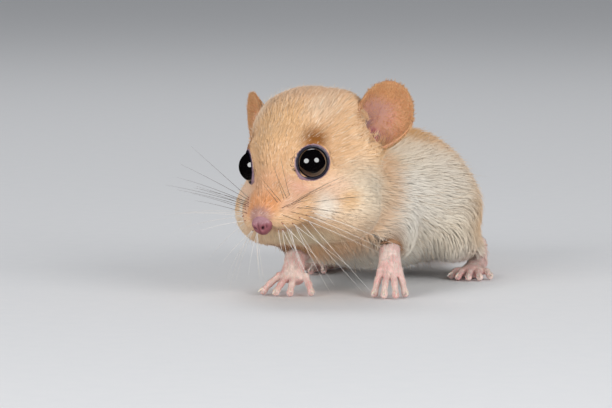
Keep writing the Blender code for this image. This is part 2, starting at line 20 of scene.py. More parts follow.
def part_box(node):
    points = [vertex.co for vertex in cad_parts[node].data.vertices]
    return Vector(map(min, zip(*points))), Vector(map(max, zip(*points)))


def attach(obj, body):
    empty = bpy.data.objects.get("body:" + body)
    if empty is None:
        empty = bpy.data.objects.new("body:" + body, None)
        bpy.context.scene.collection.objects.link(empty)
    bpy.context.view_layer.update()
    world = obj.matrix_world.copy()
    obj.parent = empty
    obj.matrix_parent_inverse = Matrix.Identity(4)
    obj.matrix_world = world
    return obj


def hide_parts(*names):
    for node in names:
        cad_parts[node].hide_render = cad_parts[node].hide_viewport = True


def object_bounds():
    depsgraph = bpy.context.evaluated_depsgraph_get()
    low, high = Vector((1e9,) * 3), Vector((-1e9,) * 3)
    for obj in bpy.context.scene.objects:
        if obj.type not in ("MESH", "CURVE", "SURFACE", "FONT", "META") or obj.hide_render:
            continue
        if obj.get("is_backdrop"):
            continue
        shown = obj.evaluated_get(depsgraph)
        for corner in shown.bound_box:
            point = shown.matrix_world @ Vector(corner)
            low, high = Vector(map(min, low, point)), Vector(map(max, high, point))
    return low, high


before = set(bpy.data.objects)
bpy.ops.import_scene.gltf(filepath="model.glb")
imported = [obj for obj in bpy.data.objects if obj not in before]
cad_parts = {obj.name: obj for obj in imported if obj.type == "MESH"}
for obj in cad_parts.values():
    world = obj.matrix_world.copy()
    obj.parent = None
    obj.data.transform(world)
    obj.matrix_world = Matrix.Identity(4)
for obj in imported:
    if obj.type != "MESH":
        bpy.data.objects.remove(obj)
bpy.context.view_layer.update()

MM = 0.001
SIDES = {1: "left", -1: "right"}
scene = bpy.context.scene
print("nodes in the packed model:", len(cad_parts))

# %% [markdown]
# ## Where the head is
#
# Most details belong to the head, which is turned and tilted against the body. It is easiest to
# place them in a frame of the head's own: the origin is between the eyes, -Y points to the nose,
# +X to the animal's left and +Z to the crown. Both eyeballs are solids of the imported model, so
# their middles fix that frame, and no number has to be fitted by eye.

# %% The head's frame, and points of the body
HEAD_ANGLES = [math.radians(angle) for angle in (-11, 17, -6)]
HEAD_IN_SOURCE = Vector((-5.2, -26.0, 21.6))
EYE_AT = Vector((5.35, -0.3, 0.2))
WRISTS = {1: Vector((8.8, -14.4, 7.2)), -1: Vector((-6.6, -16.6, 6.0))}
HEEL, BALL = Vector((12.0, 23.5, 1.7)), Vector((14.2, 12.6, 1.15))


def middle(node):
    """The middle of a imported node's box."""
    low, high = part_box(node)
    return (low + high) / 2


HEAD_TURN = (
    Matrix.Rotation(HEAD_ANGLES[0], 4, "Z")
    @ Matrix.Rotation(HEAD_ANGLES[1], 4, "X")
    @ Matrix.Rotation(HEAD_ANGLES[2], 4, "Y")
)
eye_middle = {side: middle("eye_" + word) for side, word in SIDES.items()}
brow = (eye_middle[1] + eye_middle[-1]) / 2
HEAD = Matrix.Translation(brow) @ HEAD_TURN @ Matrix.Translation(Vector((0, -EYE_AT.y, -EYE_AT.z)) * MM)
SHIFT = HEAD.translation - HEAD_IN_SOURCE * MM
BODY = Matrix.Translation(SHIFT)


def on_head(point):
    """A point of the head, given in its own frame in millimetres."""
    return HEAD @ (Vector(point) * MM)


def on_body(point):
    """A point of the body, given in millimetres before the model was centred."""
    return Vector(point) * MM + SHIFT


def mirrored(point, side):
    """A point for the left side (+1), or its mirror image for the right side (-1)."""
    return Vector((point[0] * side, point[1], point[2]))


EYE_SIDEWAYS, EYE_UPWARD = math.radians(47), math.radians(12)
NOSE_AT = (0, -10.2, -6.4)
EAR_AT = Vector((12.6, 13.2, 2.9))
EAR_OPENS = Vector((0.66, -0.72, 0.22))
EAR_RISES = Vector((0.34, 0.42, 0.84))


def toward(azimuth, elevation):
    """The direction to whatever stands at an azimuth and an elevation, in radians."""
    level = math.cos(elevation)
    return Vector((math.sin(azimuth) * level, -math.cos(azimuth) * level, math.sin(elevation)))


def seen_from(matrix, places):
    """An array of places as seen from a frame, in millimetres."""
    return (places - np.array(matrix.translation)) @ np.array(matrix.to_3x3()) / MM


def eye_frame(side):
    """A frame at the middle of an eye, whose +Z looks out of the head."""
    look = toward(side * EYE_SIDEWAYS, EYE_UPWARD)
    turn = HEAD_TURN @ look.to_track_quat("Z", "Y").to_matrix().to_4x4()
    return Matrix.Translation(eye_middle[side]) @ turn


def ear_frame(side):
    """A frame at the middle of an ear's rim: +Z looks out of the cup and +Y runs up the ear."""
    opening = mirrored(EAR_OPENS, side).normalized()
    rising = mirrored(EAR_RISES, side)
    across = rising.cross(opening).normalized()
    rising = opening.cross(across)
    turn = Matrix((across, rising, opening)).transposed().to_4x4()
    return HEAD @ Matrix.Translation(mirrored(EAR_AT, side) * MM) @ turn


error = max((on_head(mirrored(EYE_AT, side)) - eye_middle[side]).length for side in SIDES)
print(f"eyes fit the head's frame to {error / MM:.2f} mm")

# %% [markdown]
# ## The camera and the lights
#
# The photograph was taken from close to the ground, a little to the animal's left, and two soft
# lights stand in its eyes. The camera here has that angle. The two area lights stand on either
# side of it, which puts the same pair of highlights in each eye. A pale world fills the shadows.

# %% Camera, lights and floor
AZIMUTH, ELEVATION, DISTANCE = math.radians(20), math.radians(5), 0.6
PIXELS_PER_MM = 6.25
IMAGE = (612, 408)
EYE_PIXEL = (311, 162.5)
SENSOR = 36.0

back = toward(AZIMUTH, ELEVATION)
right = Vector((math.cos(AZIMUTH), math.sin(AZIMUTH), 0))
up = back.cross(right)
target = (
    eye_middle[1]
    - right * (EYE_PIXEL[0] - IMAGE[0] / 2) / PIXELS_PER_MM * MM
    - up * (IMAGE[1] / 2 - EYE_PIXEL[1]) / PIXELS_PER_MM * MM
)
camera = bpy.data.objects.new("Camera", bpy.data.cameras.new("Camera"))
camera.data.sensor_width = SENSOR
camera.data.lens = PIXELS_PER_MM / MM * DISTANCE / IMAGE[0] * SENSOR
camera.data.clip_start = 0.01
turn = Matrix((right, up, back)).transposed().to_4x4()
camera.matrix_world = Matrix.Translation(target + back * DISTANCE) @ turn
scene.collection.objects.link(camera)
scene.camera = camera


def soft_light(name, azimuth, elevation, distance, size, radiance):
    """An oval light that looks at the head, with a given brightness of its face."""
    lamp = bpy.data.lights.new(name, "AREA")
    lamp.shape = "ELLIPSE"
    lamp.size, lamp.size_y = size
    lamp.energy = math.pi * math.pi / 4 * size[0] * size[1] * radiance
    holder = bpy.data.objects.new(name, lamp)
    away = toward(AZIMUTH + math.radians(azimuth), ELEVATION + math.radians(elevation))
    holder.location = eye_middle[1] + away * distance
    holder.rotation_mode = "QUATERNION"
    holder.rotation_quaternion = away.to_track_quat("Z", "Y")
    scene.collection.objects.link(holder)


LIGHTS = [
    # name, degrees round and above the camera's angle, metres away, size and brightness
    ("Light left", -38, 10, 0.6, (0.38, 0.34), 6.2),
    ("Light right", 42, 15, 0.6, (0.38, 0.34), 6.2),
    ("Light back", 190, 52, 0.9, (0.6, 0.4), 3.0),
]
for light in LIGHTS:
    soft_light(*light)

world = bpy.data.worlds.new("Pale room")
world.use_nodes = True
world.node_tree.nodes["Background"].inputs["Color"].default_value = (0.80, 0.82, 0.85, 1)
world.node_tree.nodes["Background"].inputs["Strength"].default_value = 0.45
# The photograph's surroundings are dark, so the eyes mirror the lights and nothing else.
world.cycles_visibility.glossy = False
scene.world = world
scene.view_settings.view_transform = "Standard"

floor = bpy.data.objects.new("Floor", bpy.data.meshes.new("Floor"))
FLOOR_REACH = 3.0
corners = [(x * FLOOR_REACH, y * FLOOR_REACH, 0) for x, y in ((-1, -1), (1, -1), (1, 1), (-1, 1))]
floor.data.from_pydata(corners, [], [(0, 1, 2, 3)])
floor.visible_glossy = False
scene.collection.objects.link(floor)
floor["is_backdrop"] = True
print(f"camera lens {camera.data.lens:.1f} mm at {DISTANCE} m")

# %% [markdown]
# ## Materials as sums
#
# A material in Blender is a graph of nodes, which is hard to read as code. Here a small class
# wraps a socket, so that `2 * mask` adds the Math node by itself. Colours are mixed by Mix nodes
# and vectors by Vector Math nodes, and one method makes every node.


# %% A socket that Python can do sums with
class Wire:
    """A socket of a material, on which arithmetic adds Math nodes."""

    def __init__(self, finish, socket):
        self.finish = finish
        self.socket = socket

    def maths(self, operation, *values):
        return self.finish.node("ShaderNodeMath", {"operation": operation}, dict(enumerate(values)))

    def __add__(self, other):
        return self.maths("ADD", self, other)

    def __mul__(self, other):
        return self.maths("MULTIPLY", self, other)

    __radd__, __rmul__ = __add__, __mul__


class Finish:
    """A material with a Principled shader, and the nodes that feed it."""

    def __init__(self, name, **constants):
        self.material = bpy.data.materials.new(name)
        self.material.use_nodes = True
        self.tree = self.material.node_tree
        self.shader = self.tree.nodes["Principled BSDF"]
        for key, value in constants.items():
            self.shader.inputs[key.replace("_", " ")].default_value = value

    def node(self, kind, settings=None, sockets=None, output=0):
        made = self.tree.nodes.new(kind)
        for key, value in (settings or {}).items():
            setattr(made, key, value)
        for key, value in (sockets or {}).items():
            if isinstance(value, Wire):
                self.tree.links.new(value.socket, made.inputs[key])
            else:
                made.inputs[key].default_value = value
        return Wire(self, made.outputs[output])

    def vector(self, operation, *values, output=0):
        sockets = dict(enumerate(values))
        return self.node("ShaderNodeVectorMath", {"operation": operation}, sockets, output)

    def step(self, value, low, high):
        """0 at low, 1 at high, with a soft change between."""
        settings = {"interpolation_type": "SMOOTHSTEP"}
        sockets = {"Value": value, "From Min": low, "From Max": high}
        return self.node("ShaderNodeMapRange", settings, sockets)

    def mix(self, mask, first, second, blend="MIX"):
        """The first colour where the mask is 0 and the second where it is 1."""
        settings = {"data_type": "RGBA", "blend_type": blend}
        return self.node("ShaderNodeMix", settings, {0: mask, 6: first, 7: second}, 2)

    def noise(self, place, scale, detail=3.0, roughness=0.55):
        """A cloudy value round 0.5."""
        sockets = {"Vector": place, "Scale": scale, "Detail": detail, "Roughness": roughness}
        return self.node("ShaderNodeTexNoise", {}, sockets)

    def place(self):
        """The point on the surface, in the model's frame."""
        return self.node("ShaderNodeTexCoord", {}, {}, 3)

    def attribute(self, name, output):
        return self.node("ShaderNodeAttribute", {"attribute_name": name}, {}, output)

    def within(self, place, matrix):
        """The same point in a frame of its own, in millimetres."""
        sockets = {
            "Vector": place,
            "Location": matrix.translation,
            "Rotation": matrix.to_euler(),
            "Scale": (MM, MM, MM),
        }
        return self.node("ShaderNodeMapping", {"vector_type": "TEXTURE"}, sockets)

    def parted(self, place):
        """The three coordinates of a point."""
        first = self.node("ShaderNodeSeparateXYZ", {}, {0: place})
        return [Wire(self, socket) for socket in first.socket.node.outputs]

    def folded(self, place):
        """The point itself on the left side, and its mirror image on the right side."""
        across, along, height = self.parted(place)
        sockets = {0: across.maths("ABSOLUTE", across), 1: along, 2: height}
        return self.node("ShaderNodeCombineXYZ", {}, sockets)

    def painted(self, colour, place, spots, rim, core):
        """A colour with soft spots over it, each full at its core and gone at its rim."""
        for middle_at, radii, strength, spot in spots:
            scaled = self.vector("DIVIDE", self.vector("SUBTRACT", place, middle_at), radii)
            mask = self.step(self.vector("LENGTH", scaled, output=1), rim, core)
            colour = self.mix(mask * strength, colour, spot)
        return colour

    def feed(self, key, value):
        self.tree.links.new(value.socket, self.shader.inputs[key])

    def bump(self, height, strength, distance):
        """Feeds the shader's normal from a height."""
        sockets = {"Height": height, "Strength": strength, "Distance": distance}
        self.feed("Normal", self.node("ShaderNodeBump", {}, sockets))


def tint(red, green, blue):
    """A colour read off as 0 to 255 on a screen, as Blender's linear values."""
    shares = [value / 255 for value in (red, green, blue)]
    return (*[s / 12.92 if s <= 0.04045 else ((s + 0.055) / 1.055) ** 2.4 for s in shares], 1)


def clouded(name, scale, detail, first, second, **constants):
    """A finish of two colours, mixed by a cloudy pattern."""
    finish = Finish(name, **constants)
    pattern = finish.noise(finish.place(), scale, detail)
    finish.feed("Base Color", finish.mix(pattern, first, second))
    return finish


FLOOR_GREYS = tint(226, 227, 229), tint(231, 231, 232)
paper = clouded("Pale floor", 300, 3.0, *FLOOR_GREYS, Roughness=0.8, Specular_IOR_Level=0.2)
floor.data.materials.append(paper.material)
print("the floor has its finish")

# %% [markdown]
# ## The markings, and some painted shade
#
# A hazel dormouse is golden buff above and cream below. The face is pinker along the top of the
# snout, orange beside it, and nearly white on the cheek and the throat. A painter would lay soft
# spots of colour over a ground coat. So does this material: each spot is an ellipsoid in the
# head's or the body's frame, and its mask mixes in one colour. Two spots of the head are painted
# shade: a grey-brown one under the rear of the cheek, which is partly the coat's own grey-brown
# streaks, and a darker one in the mouth's fold. A brown spot lies over each wrist and a pink one
# over each heel. Skin and hair call the same function, so a tuft has the colour of the place where
# it is rooted.

# %% Markings, and painted shade, that skin and coat share
BACK_GOLD = tint(228, 168, 98)
BELLY_CREAM = tint(248, 242, 230)
FLANK_CREAM = tint(242, 228, 204)
HEAD_BUFF = tint(236, 188, 142)
BROWN_EDGE = tint(156, 98, 44)
ANKLE_PINK = tint(226, 188, 174)
TAIL_GOLD = tint(226, 170, 108)
TAIL_END = tint(196, 136, 78)

# Each spot of the head: middle and radii in millimetres, strength and colour. X is the same on
# both sides.
HEAD_SPOTS = [
    ((0, 11, 9), (13, 10, 8), 0.6, tint(226, 184, 150)),
    ((0, 0, 6), (6, 6, 6), 0.5, tint(242, 196, 142)),
    ((6, 3, 7), (3, 7, 3), 0.5, tint(250, 226, 198)),
    ((10, 9, 1), (6, 7, 8), 0.5, tint(246, 206, 162)),
    ((9, 4, -7), (8, 9, 6), 0.9, tint(250, 234, 208)),
    ((6.5, -1.0, -4.4), (4.6, 3.8, 3.4), 0.75, tint(246, 204, 174)),
    ((0, -7, -1.5), (3.4, 6.5, 3.0), 0.6, tint(240, 178, 138)),
    ((0.9, -8.5, -3.9), (2.4, 3.8, 2.3), 0.75, tint(236, 152, 92)),
    ((3.7, -7.4, -4.6), (2.0, 2.6, 2.0), 0.6, tint(240, 190, 164)),
    ((4.0, -4.4, -2.6), (2.6, 3.0, 2.4), 0.6, tint(242, 182, 162)),
    ((3.6, -7.0, -6.6), (3.0, 3.4, 2.4), 0.7, tint(238, 192, 146)),
    ((0.3, -10.7, -4.8), (1.9, 1.8, 1.6), 0.75, tint(178, 138, 142)),
    ((6.6, -3.2, -6.4), (2.8, 2.8, 2.4), 0.75, tint(254, 246, 232)),
    ((9.6, -0.4, -6.4), (2.2, 2.4, 1.8), 0.65, tint(232, 180, 120)),
    ((5.8, 0.6, 3.1), (2.7, 2.9, 2.4), 1.0, tint(152, 94, 36)),
    # Grey-brown under the rear of the cheek: partly the coat's own grey-brown streaks, partly painted
    # shade under the jaw.
    ((9.4, 2.3, -10.6), (4, 4, 2.4), 0.55, tint(186, 160, 134)),
    ((12.0, 11.0, -2.5), (4.5, 5.5, 4.5), 0.6, tint(250, 198, 140)),
    ((0, -3, -12), (9, 9, 4.2), 0.8, tint(246, 230, 194)),
    # Darker along the mouth's fold below the whisker pads: painted shade in the fold.
    ((2.4, -7.6, -8.7), (3.0, 2.6, 1.0), 0.7, tint(168, 118, 98)),
]

# The neck and the shoulder, in the same way, in the body's frame.
BODY_SPOTS = [
    ((10, -2, 17), (8, 24, 9), 0.85, tint(250, 239, 222)),
    ((9, -5, 23), (8, 11, 6.5), 0.75, tint(248, 234, 212)),
    ((9, -12, 15), (7, 12, 8.5), 0.9, tint(252, 244, 230)),
    ((8, -9, 21.5), (5, 5, 3), 0.5, tint(244, 204, 156)),
]


def markings_and_painted_shade(finish, place):
    """The colour of the coat at a point, with painted shade under the cheek and in the mouth's fold."""
    body = finish.within(place, BODY)
    _, along, height = finish.parted(body)
    edge = height + 4.0 * finish.noise(body, 0.16, 2.0)
    colour = finish.mix(finish.step(edge, 6.0, 13.0), BELLY_CREAM, FLANK_CREAM)
    colour = finish.mix(finish.step(edge, 16.0, 27.0), colour, BACK_GOLD)
    rear = finish.step(along, 2.0, 24.0) * finish.step(edge, 5.0, 12.0)
    colour = finish.mix(rear * 0.8, colour, BACK_GOLD)
    colour = finish.painted(colour, finish.folded(body), BODY_SPOTS, 1.15, 0.3)
    tail = finish.step(along, 29.0, 33.0)
    colour = finish.mix(tail, colour, TAIL_GOLD)
    colour = finish.mix(tail * finish.step(along, 58.0, 66.0) * 0.6, colour, TAIL_END)

    head = finish.folded(finish.within(place, HEAD))
    away = finish.vector("LENGTH", finish.vector("SUBTRACT", head, (0, 3.5, -1.5)), output=1)
    colour = finish.mix(finish.step(away, 19.5, 12.5), colour, HEAD_BUFF)
    colour = finish.painted(colour, head, HEAD_SPOTS, 1.15, 0.25)
    for side in SIDES:
        cuff = WRISTS[side] + Vector((1.8 * side, -1.0, 1.8))
        ankle = mirrored(HEEL, side) + Vector((0, -0.8, 2.8))
        for middle_at, rim, core, strength, spot in (
            (cuff, 5.2, 2.4, 0.85, BROWN_EDGE),
            (ankle, 4.0, 2.4, 0.8, ANKLE_PINK),
        ):
            gap = finish.vector("DISTANCE", place, tuple(on_body(middle_at)), output=1)
            colour = finish.mix(finish.step(gap, rim * MM, core * MM) * strength, colour, spot)
    return colour


print("spots of colour on the head:", len(HEAD_SPOTS))

# %% [markdown]
# ## Clay
#
# Paws, nose and other soft forms are easy to describe as rows of balls, and a voxel remesh melts
# the balls into one closed skin. A sphere for each ball is copied from one pressed mould, because
# making each anew is slow.


# %% Balls that melt into one form
def poured(work, name):
    """The mesh of a bmesh that is done."""
    mesh = bpy.data.meshes.new(name)
    work.to_mesh(mesh)
    work.free()
    return mesh


def closed_mesh(name, points, faces):
    """A mesh from points and faces, turned so that every face looks outwards."""
    work = bmesh.new()
    mesh = bpy.data.meshes.new(name)
    mesh.from_pydata(points, [], faces)
    work.from_mesh(mesh)
    bpy.data.meshes.remove(mesh)
    bmesh.ops.recalc_face_normals(work, faces=work.faces[:])
    return poured(work, name)


def unit_ball():
    """A ball of radius 1, the mould for all others."""
    work = bmesh.new()
    bmesh.ops.create_uvsphere(work, u_segments=20, v_segments=12, radius=1)
    return poured(work, "Unit ball")


UNIT_BALL = unit_ball()


def add_ball(clay, centre, radii, matrix=Matrix()):
    """Adds an ellipsoid to the clay, in metres."""
    clay.append(matrix @ Matrix.Translation(centre) @ Matrix.Diagonal((*radii, 1)))


def linked(name, mesh):
    """A new object in the scene."""
    made = bpy.data.objects.new(name, mesh)
    scene.collection.objects.link(made)
    return made


def dressed(thing, finish, slot, *replaced):
    """Gives an object its finish and fixes it to the animal's only body. Its slot is not used."""
    thing.data.polygons.foreach_set("use_smooth", np.ones(len(thing.data.polygons), bool))
    thing.data.materials.append(finish.material)
    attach(thing, "root")
    if replaced:
        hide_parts(*replaced)


def applied(thing):
    """Turns the modifiers of an object into plain mesh."""
    bpy.context.view_layer.update()
    graph = bpy.context.evaluated_depsgraph_get()
    mesh = bpy.data.meshes.new_from_object(thing.evaluated_get(graph))
    thing.modifiers.clear()
    thing.data = mesh
    return thing


def keep_largest(thing):
    """Keeps the largest closed surface of a mesh."""
    work = bmesh.new()
    work.from_mesh(thing.data)
    left = set(work.verts)
    islands = []
    while left:
        edge = [left.pop()]
        island = edge[:]
        while edge:
            joined = {other for link in edge.pop().link_edges for other in link.verts} & left
            left -= joined
            edge += joined
            island += joined
        islands.append(island)
    islands.sort(key=len)
    scraps = [vert for island in islands[:-1] for vert in island]
    bmesh.ops.delete(work, geom=scraps, context="VERTS")
    work.to_mesh(thing.data)
    work.free()
    return thing


def melted(thing, voxel, smoothing):
    """One closed, smoothed skin round everything in a mesh."""
    remesh = thing.modifiers.new("Melt", "REMESH")
    remesh.mode = "VOXEL"
    remesh.voxel_size = voxel
    smooth = thing.modifiers.new("Smooth", "SMOOTH")
    smooth.factor = 0.5
    smooth.iterations = smoothing
    return keep_largest(applied(thing))


def pressed(name, clay):
    """An object that holds every ball of the clay."""
    work = bmesh.new()
    for place in clay:
        ball = UNIT_BALL.copy()
        ball.transform(place)
        work.from_mesh(ball)
        bpy.data.meshes.remove(ball)
    return linked(name, poured(work, name))


def between(stations, share):
    """The smooth curve through stations of (centre, radii), at a share from 0 to 1 of the way."""
    spans = len(stations) - 1
    index = min(int(share * spans), spans - 1)
    t = share * spans - index
    ring = [stations[max(0, min(spans, index + k))] for k in (-1, 0, 1, 2)]
    weights = (
        (-t + 2 * t**2 - t**3) / 2,
        (2 - 5 * t**2 + 3 * t**3) / 2,
        (t + 4 * t**2 - 3 * t**3) / 2,
        (-(t**2) + t**3) / 2,
    )
    return [
        sum((w * Vector(station[part]) for w, station in zip(weights, ring)), Vector((0, 0, 0)))
        for part in (0, 1)
    ]


def add_row(clay, stations, matrix, balls):
    """Adds a row of balls along a curve, in millimetres."""
    for step in range(balls):
        centre, radii = between(stations, step / (balls - 1))
        add_ball(clay, centre * MM, radii * MM, matrix)


print("the mould has", len(UNIT_BALL.polygons), "faces")

# %% [markdown]
# ## The skin
#
# Under the coat there is one animal, without seams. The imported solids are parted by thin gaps, so
# copies of them are swollen a little until they touch, and a voxel remesh makes one surface of
# them. That surface is the outside of the coat. It is smoothed, most where head, neck and legs
# meet, and then sunk by the depth of the coat: a few tenths of a millimetre at the eyes and the
# lips, and over two on the flanks.

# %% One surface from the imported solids
COATED = {
    # node: coat depth, tuft length and tuft width in millimetres, tufts on a square millimetre
    "head": (1.0, 2.5, 0.155, 34),
    "neck": (1.8, 3.6, 0.165, 21),
    "torso": (2.1, 4.2, 0.17, 16),
    "foreleg_left": (1.0, 2.1, 0.14, 23),
    "foreleg_right": (1.0, 2.1, 0.14, 23),
    "hindleg_left": (1.5, 3.1, 0.17, 18),
    "hindleg_right": (1.5, 3.1, 0.17, 18),
    "tail_base": (1.7, 4.4, 0.20, 13),
    "tail_middle": (1.9, 4.8, 0.20, 13),
    "tail_tip": (1.4, 4.8, 0.20, 15),
}
SWELL = 0.25 * MM
SKIN_VOXEL = 0.38 * MM


def swollen_copies(names):
    """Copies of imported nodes, grown until they touch, in one mesh."""
    work = bmesh.new()
    for name in names:
        work.from_mesh(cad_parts[name].data)
    bmesh.ops.remove_doubles(work, verts=work.verts[:], dist=1e-6)
    work.normal_update()
    for vert in work.verts:
        vert.co += vert.normal * SWELL
    return linked("skin", poured(work, "Skin"))


def get(collection, key, width, kind=np.float64):
    """One property of all members of a Blender collection, as an array."""
    values = np.empty(len(collection) * width, kind)
    collection.foreach_get(key, values)
    return values.reshape(-1, width) if width > 1 else values


def triangles(mesh):
    """The triangles of a mesh, by the numbers of their corners."""
    mesh.calc_loop_triangles()
    return get(mesh.loop_triangles, "vertices", 3, np.int32)


def moved(thing, places):
    """Puts an object's vertices at new places, and returns their new normals."""
    thing.data.vertices.foreach_set("co", places.ravel())
    thing.data.update()
    return get(thing.data.vertices, "normal", 3)


def unit(vectors):
    """Vectors of length 1."""
    return vectors / np.maximum(np.linalg.norm(vectors, axis=1, keepdims=True), 1e-12)


def spread(values, edges, times, hold=1.0):
    """Averages each vertex's value with its neighbours', a number of times."""
    flat = values.ndim == 1
    values = values.reshape(len(values), -1).copy()
    count = len(values)
    neighbours = np.bincount(edges.ravel(), minlength=count)[:, None]
    first, second = edges[:, 0], edges[:, 1]
    for _ in range(times):
        total = np.empty_like(values)
        for column, now in enumerate(values.T):
            total[:, column] = np.bincount(first, now[second], count)
            total[:, column] += np.bincount(second, now[first], count)
        values += 0.5 * (total / neighbours - values) * hold
    return values[:, 0] if flat else values


skin = melted(swollen_copies(COATED), SKIN_VOXEL, 2)
points = get(skin.data.vertices, "co", 3)
edges = get(skin.data.edges, "vertices", 2, np.int32)
print("skin:", len(points), "vertices")

# %% [markdown]
# ## Which solid each point of the skin came from
#
# Coat depth, hair length and the lie of the coat change from part to part. Each vertex looks up
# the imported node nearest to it, takes that node's values, and then all values are averaged along
# the skin, so that they blend over a few millimetres.

# %% Values of the coat at each vertex
corners, owners, node_points = [], [], []
offset = 0
for index, name in enumerate(COATED):
    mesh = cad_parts[name].data
    found = triangles(mesh)
    corners.append(found + offset)
    owners.append(np.full(len(found), index))
    node_points.append(get(mesh.vertices, "co", 3))
    offset += len(mesh.vertices)
owners = np.concatenate(owners)
node_tree = BVHTree.FromPolygons(np.concatenate(node_points).tolist(), np.concatenate(corners).tolist())
region = owners[[node_tree.find_nearest(point)[2] for point in points.tolist()]]
names = list(COATED)
in_head = seen_from(HEAD, points)


def near(values, low, high):
    """0 at low and 1 at high, with a soft change between."""
    t = np.clip((values - low) / (high - low), 0, 1)
    return t * t * (3 - 2 * t)


def share_of(name, times):
    """1 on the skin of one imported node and 0 elsewhere, blurred along the skin."""
    return spread((region == names.index(name)).astype(float), edges, times)


base = np.array([COATED[name] for name in names])[region]
depth, length, width, density = spread(base, edges, 40).T
on_the_head = share_of("head", 10)
# The head: short hair at the nose, longer towards the cheeks and the crown, shorter round the eyes.
rearward = near(in_head[:, 1], -11.5, 8.0)
eye_gap = np.min([np.linalg.norm(points - np.array(eye_middle[s]), axis=1) for s in SIDES], axis=0) / MM
lid_near = 1 - near(eye_gap, 3.4, 6.2)
for values, at_nose, gain, lid_loss in (
    (depth, 0.30, 0.75, 0.8),
    (length, 0.34, 0.72, 0.55),
    (width, 0.68, 0.36, 0.25),
):
    values *= 1 - on_the_head * (1 - (at_nose + gain * rearward))
    values *= 1 - lid_loss * lid_near
density *= 1 + on_the_head * 0.7 * (1 - rearward)
density *= 1 + 0.5 * lid_near
for word, values in (("coat depth", depth), ("hair length", length)):
    print(f"{word} {values.min():.2f} to {values.max():.2f} mm")

# %% [markdown]
# ## The tail thins to a point
#
# The tail is a bushy cylinder, most of it hair. Its depth of coat has to shrink with its radius
# near the tip, or the skin would turn inside out there, and its hair has to end with the tail.

# %% Tail line, and the final sinking of the skin
TAIL = [
    ((0.4, 25.0, 8.4), 3.2),
    ((0.0, 32.5, 4.8), 3.4),
    ((-1.4, 40.0, 3.35), 3.7),
    ((-5.0, 48.5, 3.45), 3.8),
    ((-11.0, 56.0, 3.45), 3.8),
    ((-19.0, 61.4, 3.25), 3.6),
    ((-28.0, 63.6, 2.45), 2.8),
    ((-34.5, 63.4, 0.95), 1.3),
]
TAIL_STEPS = 80
tail_stations = [(point, (radius, 0, 0)) for point, radius in TAIL]
tail_line = [between(tail_stations, step / TAIL_STEPS) for step in range(TAIL_STEPS + 1)]
tail_points = np.array([point for point, _ in tail_line]) * MM + np.array(SHIFT)
tail_radii = np.array([size[0] for _, size in tail_line])
tail_way = unit(np.gradient(tail_points, axis=0))
tail_lookup = KDTree(len(tail_points))
for index, point in enumerate(tail_points):
    tail_lookup.insert(point, index)
tail_lookup.balance()
tail_at = np.array([tail_lookup.find(point)[1] for point in points.tolist()])
on_tail = np.isin(region, [names.index(n) for n in names if n.startswith("tail")])
depth = np.where(on_tail, np.minimum(depth, 0.52 * tail_radii[tail_at]), depth)
depth = spread(depth, edges, 8)
# Hair near the tail's tip is no longer than the tail that is left, and a little more.
steps_along = np.linalg.norm(np.diff(tail_points, axis=0), axis=1) / MM
tail_left = np.append(np.cumsum(steps_along[::-1])[::-1], 0)
length = np.where(on_tail, np.minimum(length, tail_left[tail_at] + 0.9), length)

# Near a paw the hair is shorter and the skin lies deeper, and the back of the heel is bare.
for side, word in SIDES.items():
    for name, joint in (("foreleg_", WRISTS[side]), ("hindleg_", mirrored(HEEL, side))):
        here = share_of(name + word, 6)
        gap = np.linalg.norm(points - np.array(on_body(joint)), axis=1) / MM
        depth += 0.3 * here * (1 - near(gap, 2.0, 5.0))
        length -= 0.35 * length * here * (1 - near(gap, 2.0, 5.0))
        if name == "hindleg_":
            density *= 1 - here * (1 - near(gap, 1.6, 2.6))

# Where parts meet, the surface is smoothed until the creases between them are gone.
for first in ("head", "neck", *[name for name in names if "leg" in name], "tail_base"):
    share = share_of(first, 32)
    crease = np.clip(4 * share * (1 - share) * 1.8, 0, 1) * (1 - lid_near)
    points = spread(points, edges, 130, crease[:, None])
face_hold = on_the_head * near(-in_head[:, 1], -9.0, -4.0)
hold = np.clip(1 - face_hold - lid_near, 0, 1)[:, None]
points = spread(points, edges, 26, hold)
points = spread(points, edges, 3, np.clip(1 - 1.2 * lid_near, 0, 1)[:, None])
normals = moved(skin, points)
points = spread(points - normals * (depth[:, None] * MM + SWELL), edges, 2)
normals = moved(skin, points)
print("the skin lies under the coat")

# %% [markdown]
# ## Legs that narrow to their paws
#
# The end of each packed leg is as thick as its fur. Under the fur a leg is thin, so its skin is
# drawn in towards the leg's own line near the paw, and the bare paw then covers its end.

# %% Narrow the skin towards the paws
LEG_ENDS = {
    # the leg's way up from its joint, and the share by which it narrows there
    "foreleg": (Vector((-1.2, 5.6, 1.4)), 0.2),
    "hindleg": (Vector((0.2, -1.2, 5.0)), 0.52),
}
for kind, (way, narrowing) in LEG_ENDS.items():
    for side, word in SIDES.items():
        joint = WRISTS[side] if kind == "foreleg" else mirrored(HEEL, side)
        line = np.array(mirrored(way, side).normalized())
        offset = points - np.array(on_body(joint))
        run = offset @ line
        across = offset - np.outer(run, line)
        share = share_of(f"{kind}_{word}", 3) * (1 - near(run / MM, 0.3, 4.5))
        share = share * (1 - near(np.linalg.norm(across, axis=1) / MM, 3.0, 5.5))
        points = points - across * (narrowing * share)[:, None]
        points = spread(points, edges, 12, share[:, None])
print("the legs narrow to their paws")

# %% [markdown]
# ## Hollows and swellings of the face
#
# A face isn't an egg. In front of each eye there is a hollow, so that the eye bulges and can see
# forwards, the whisker pads swell on both sides of a groove, and the mouth is a fold below them.
# A sculptor would press these in with a thumb. The list below does so: each press has a line of
# points, a width, and a depth that is negative inwards.

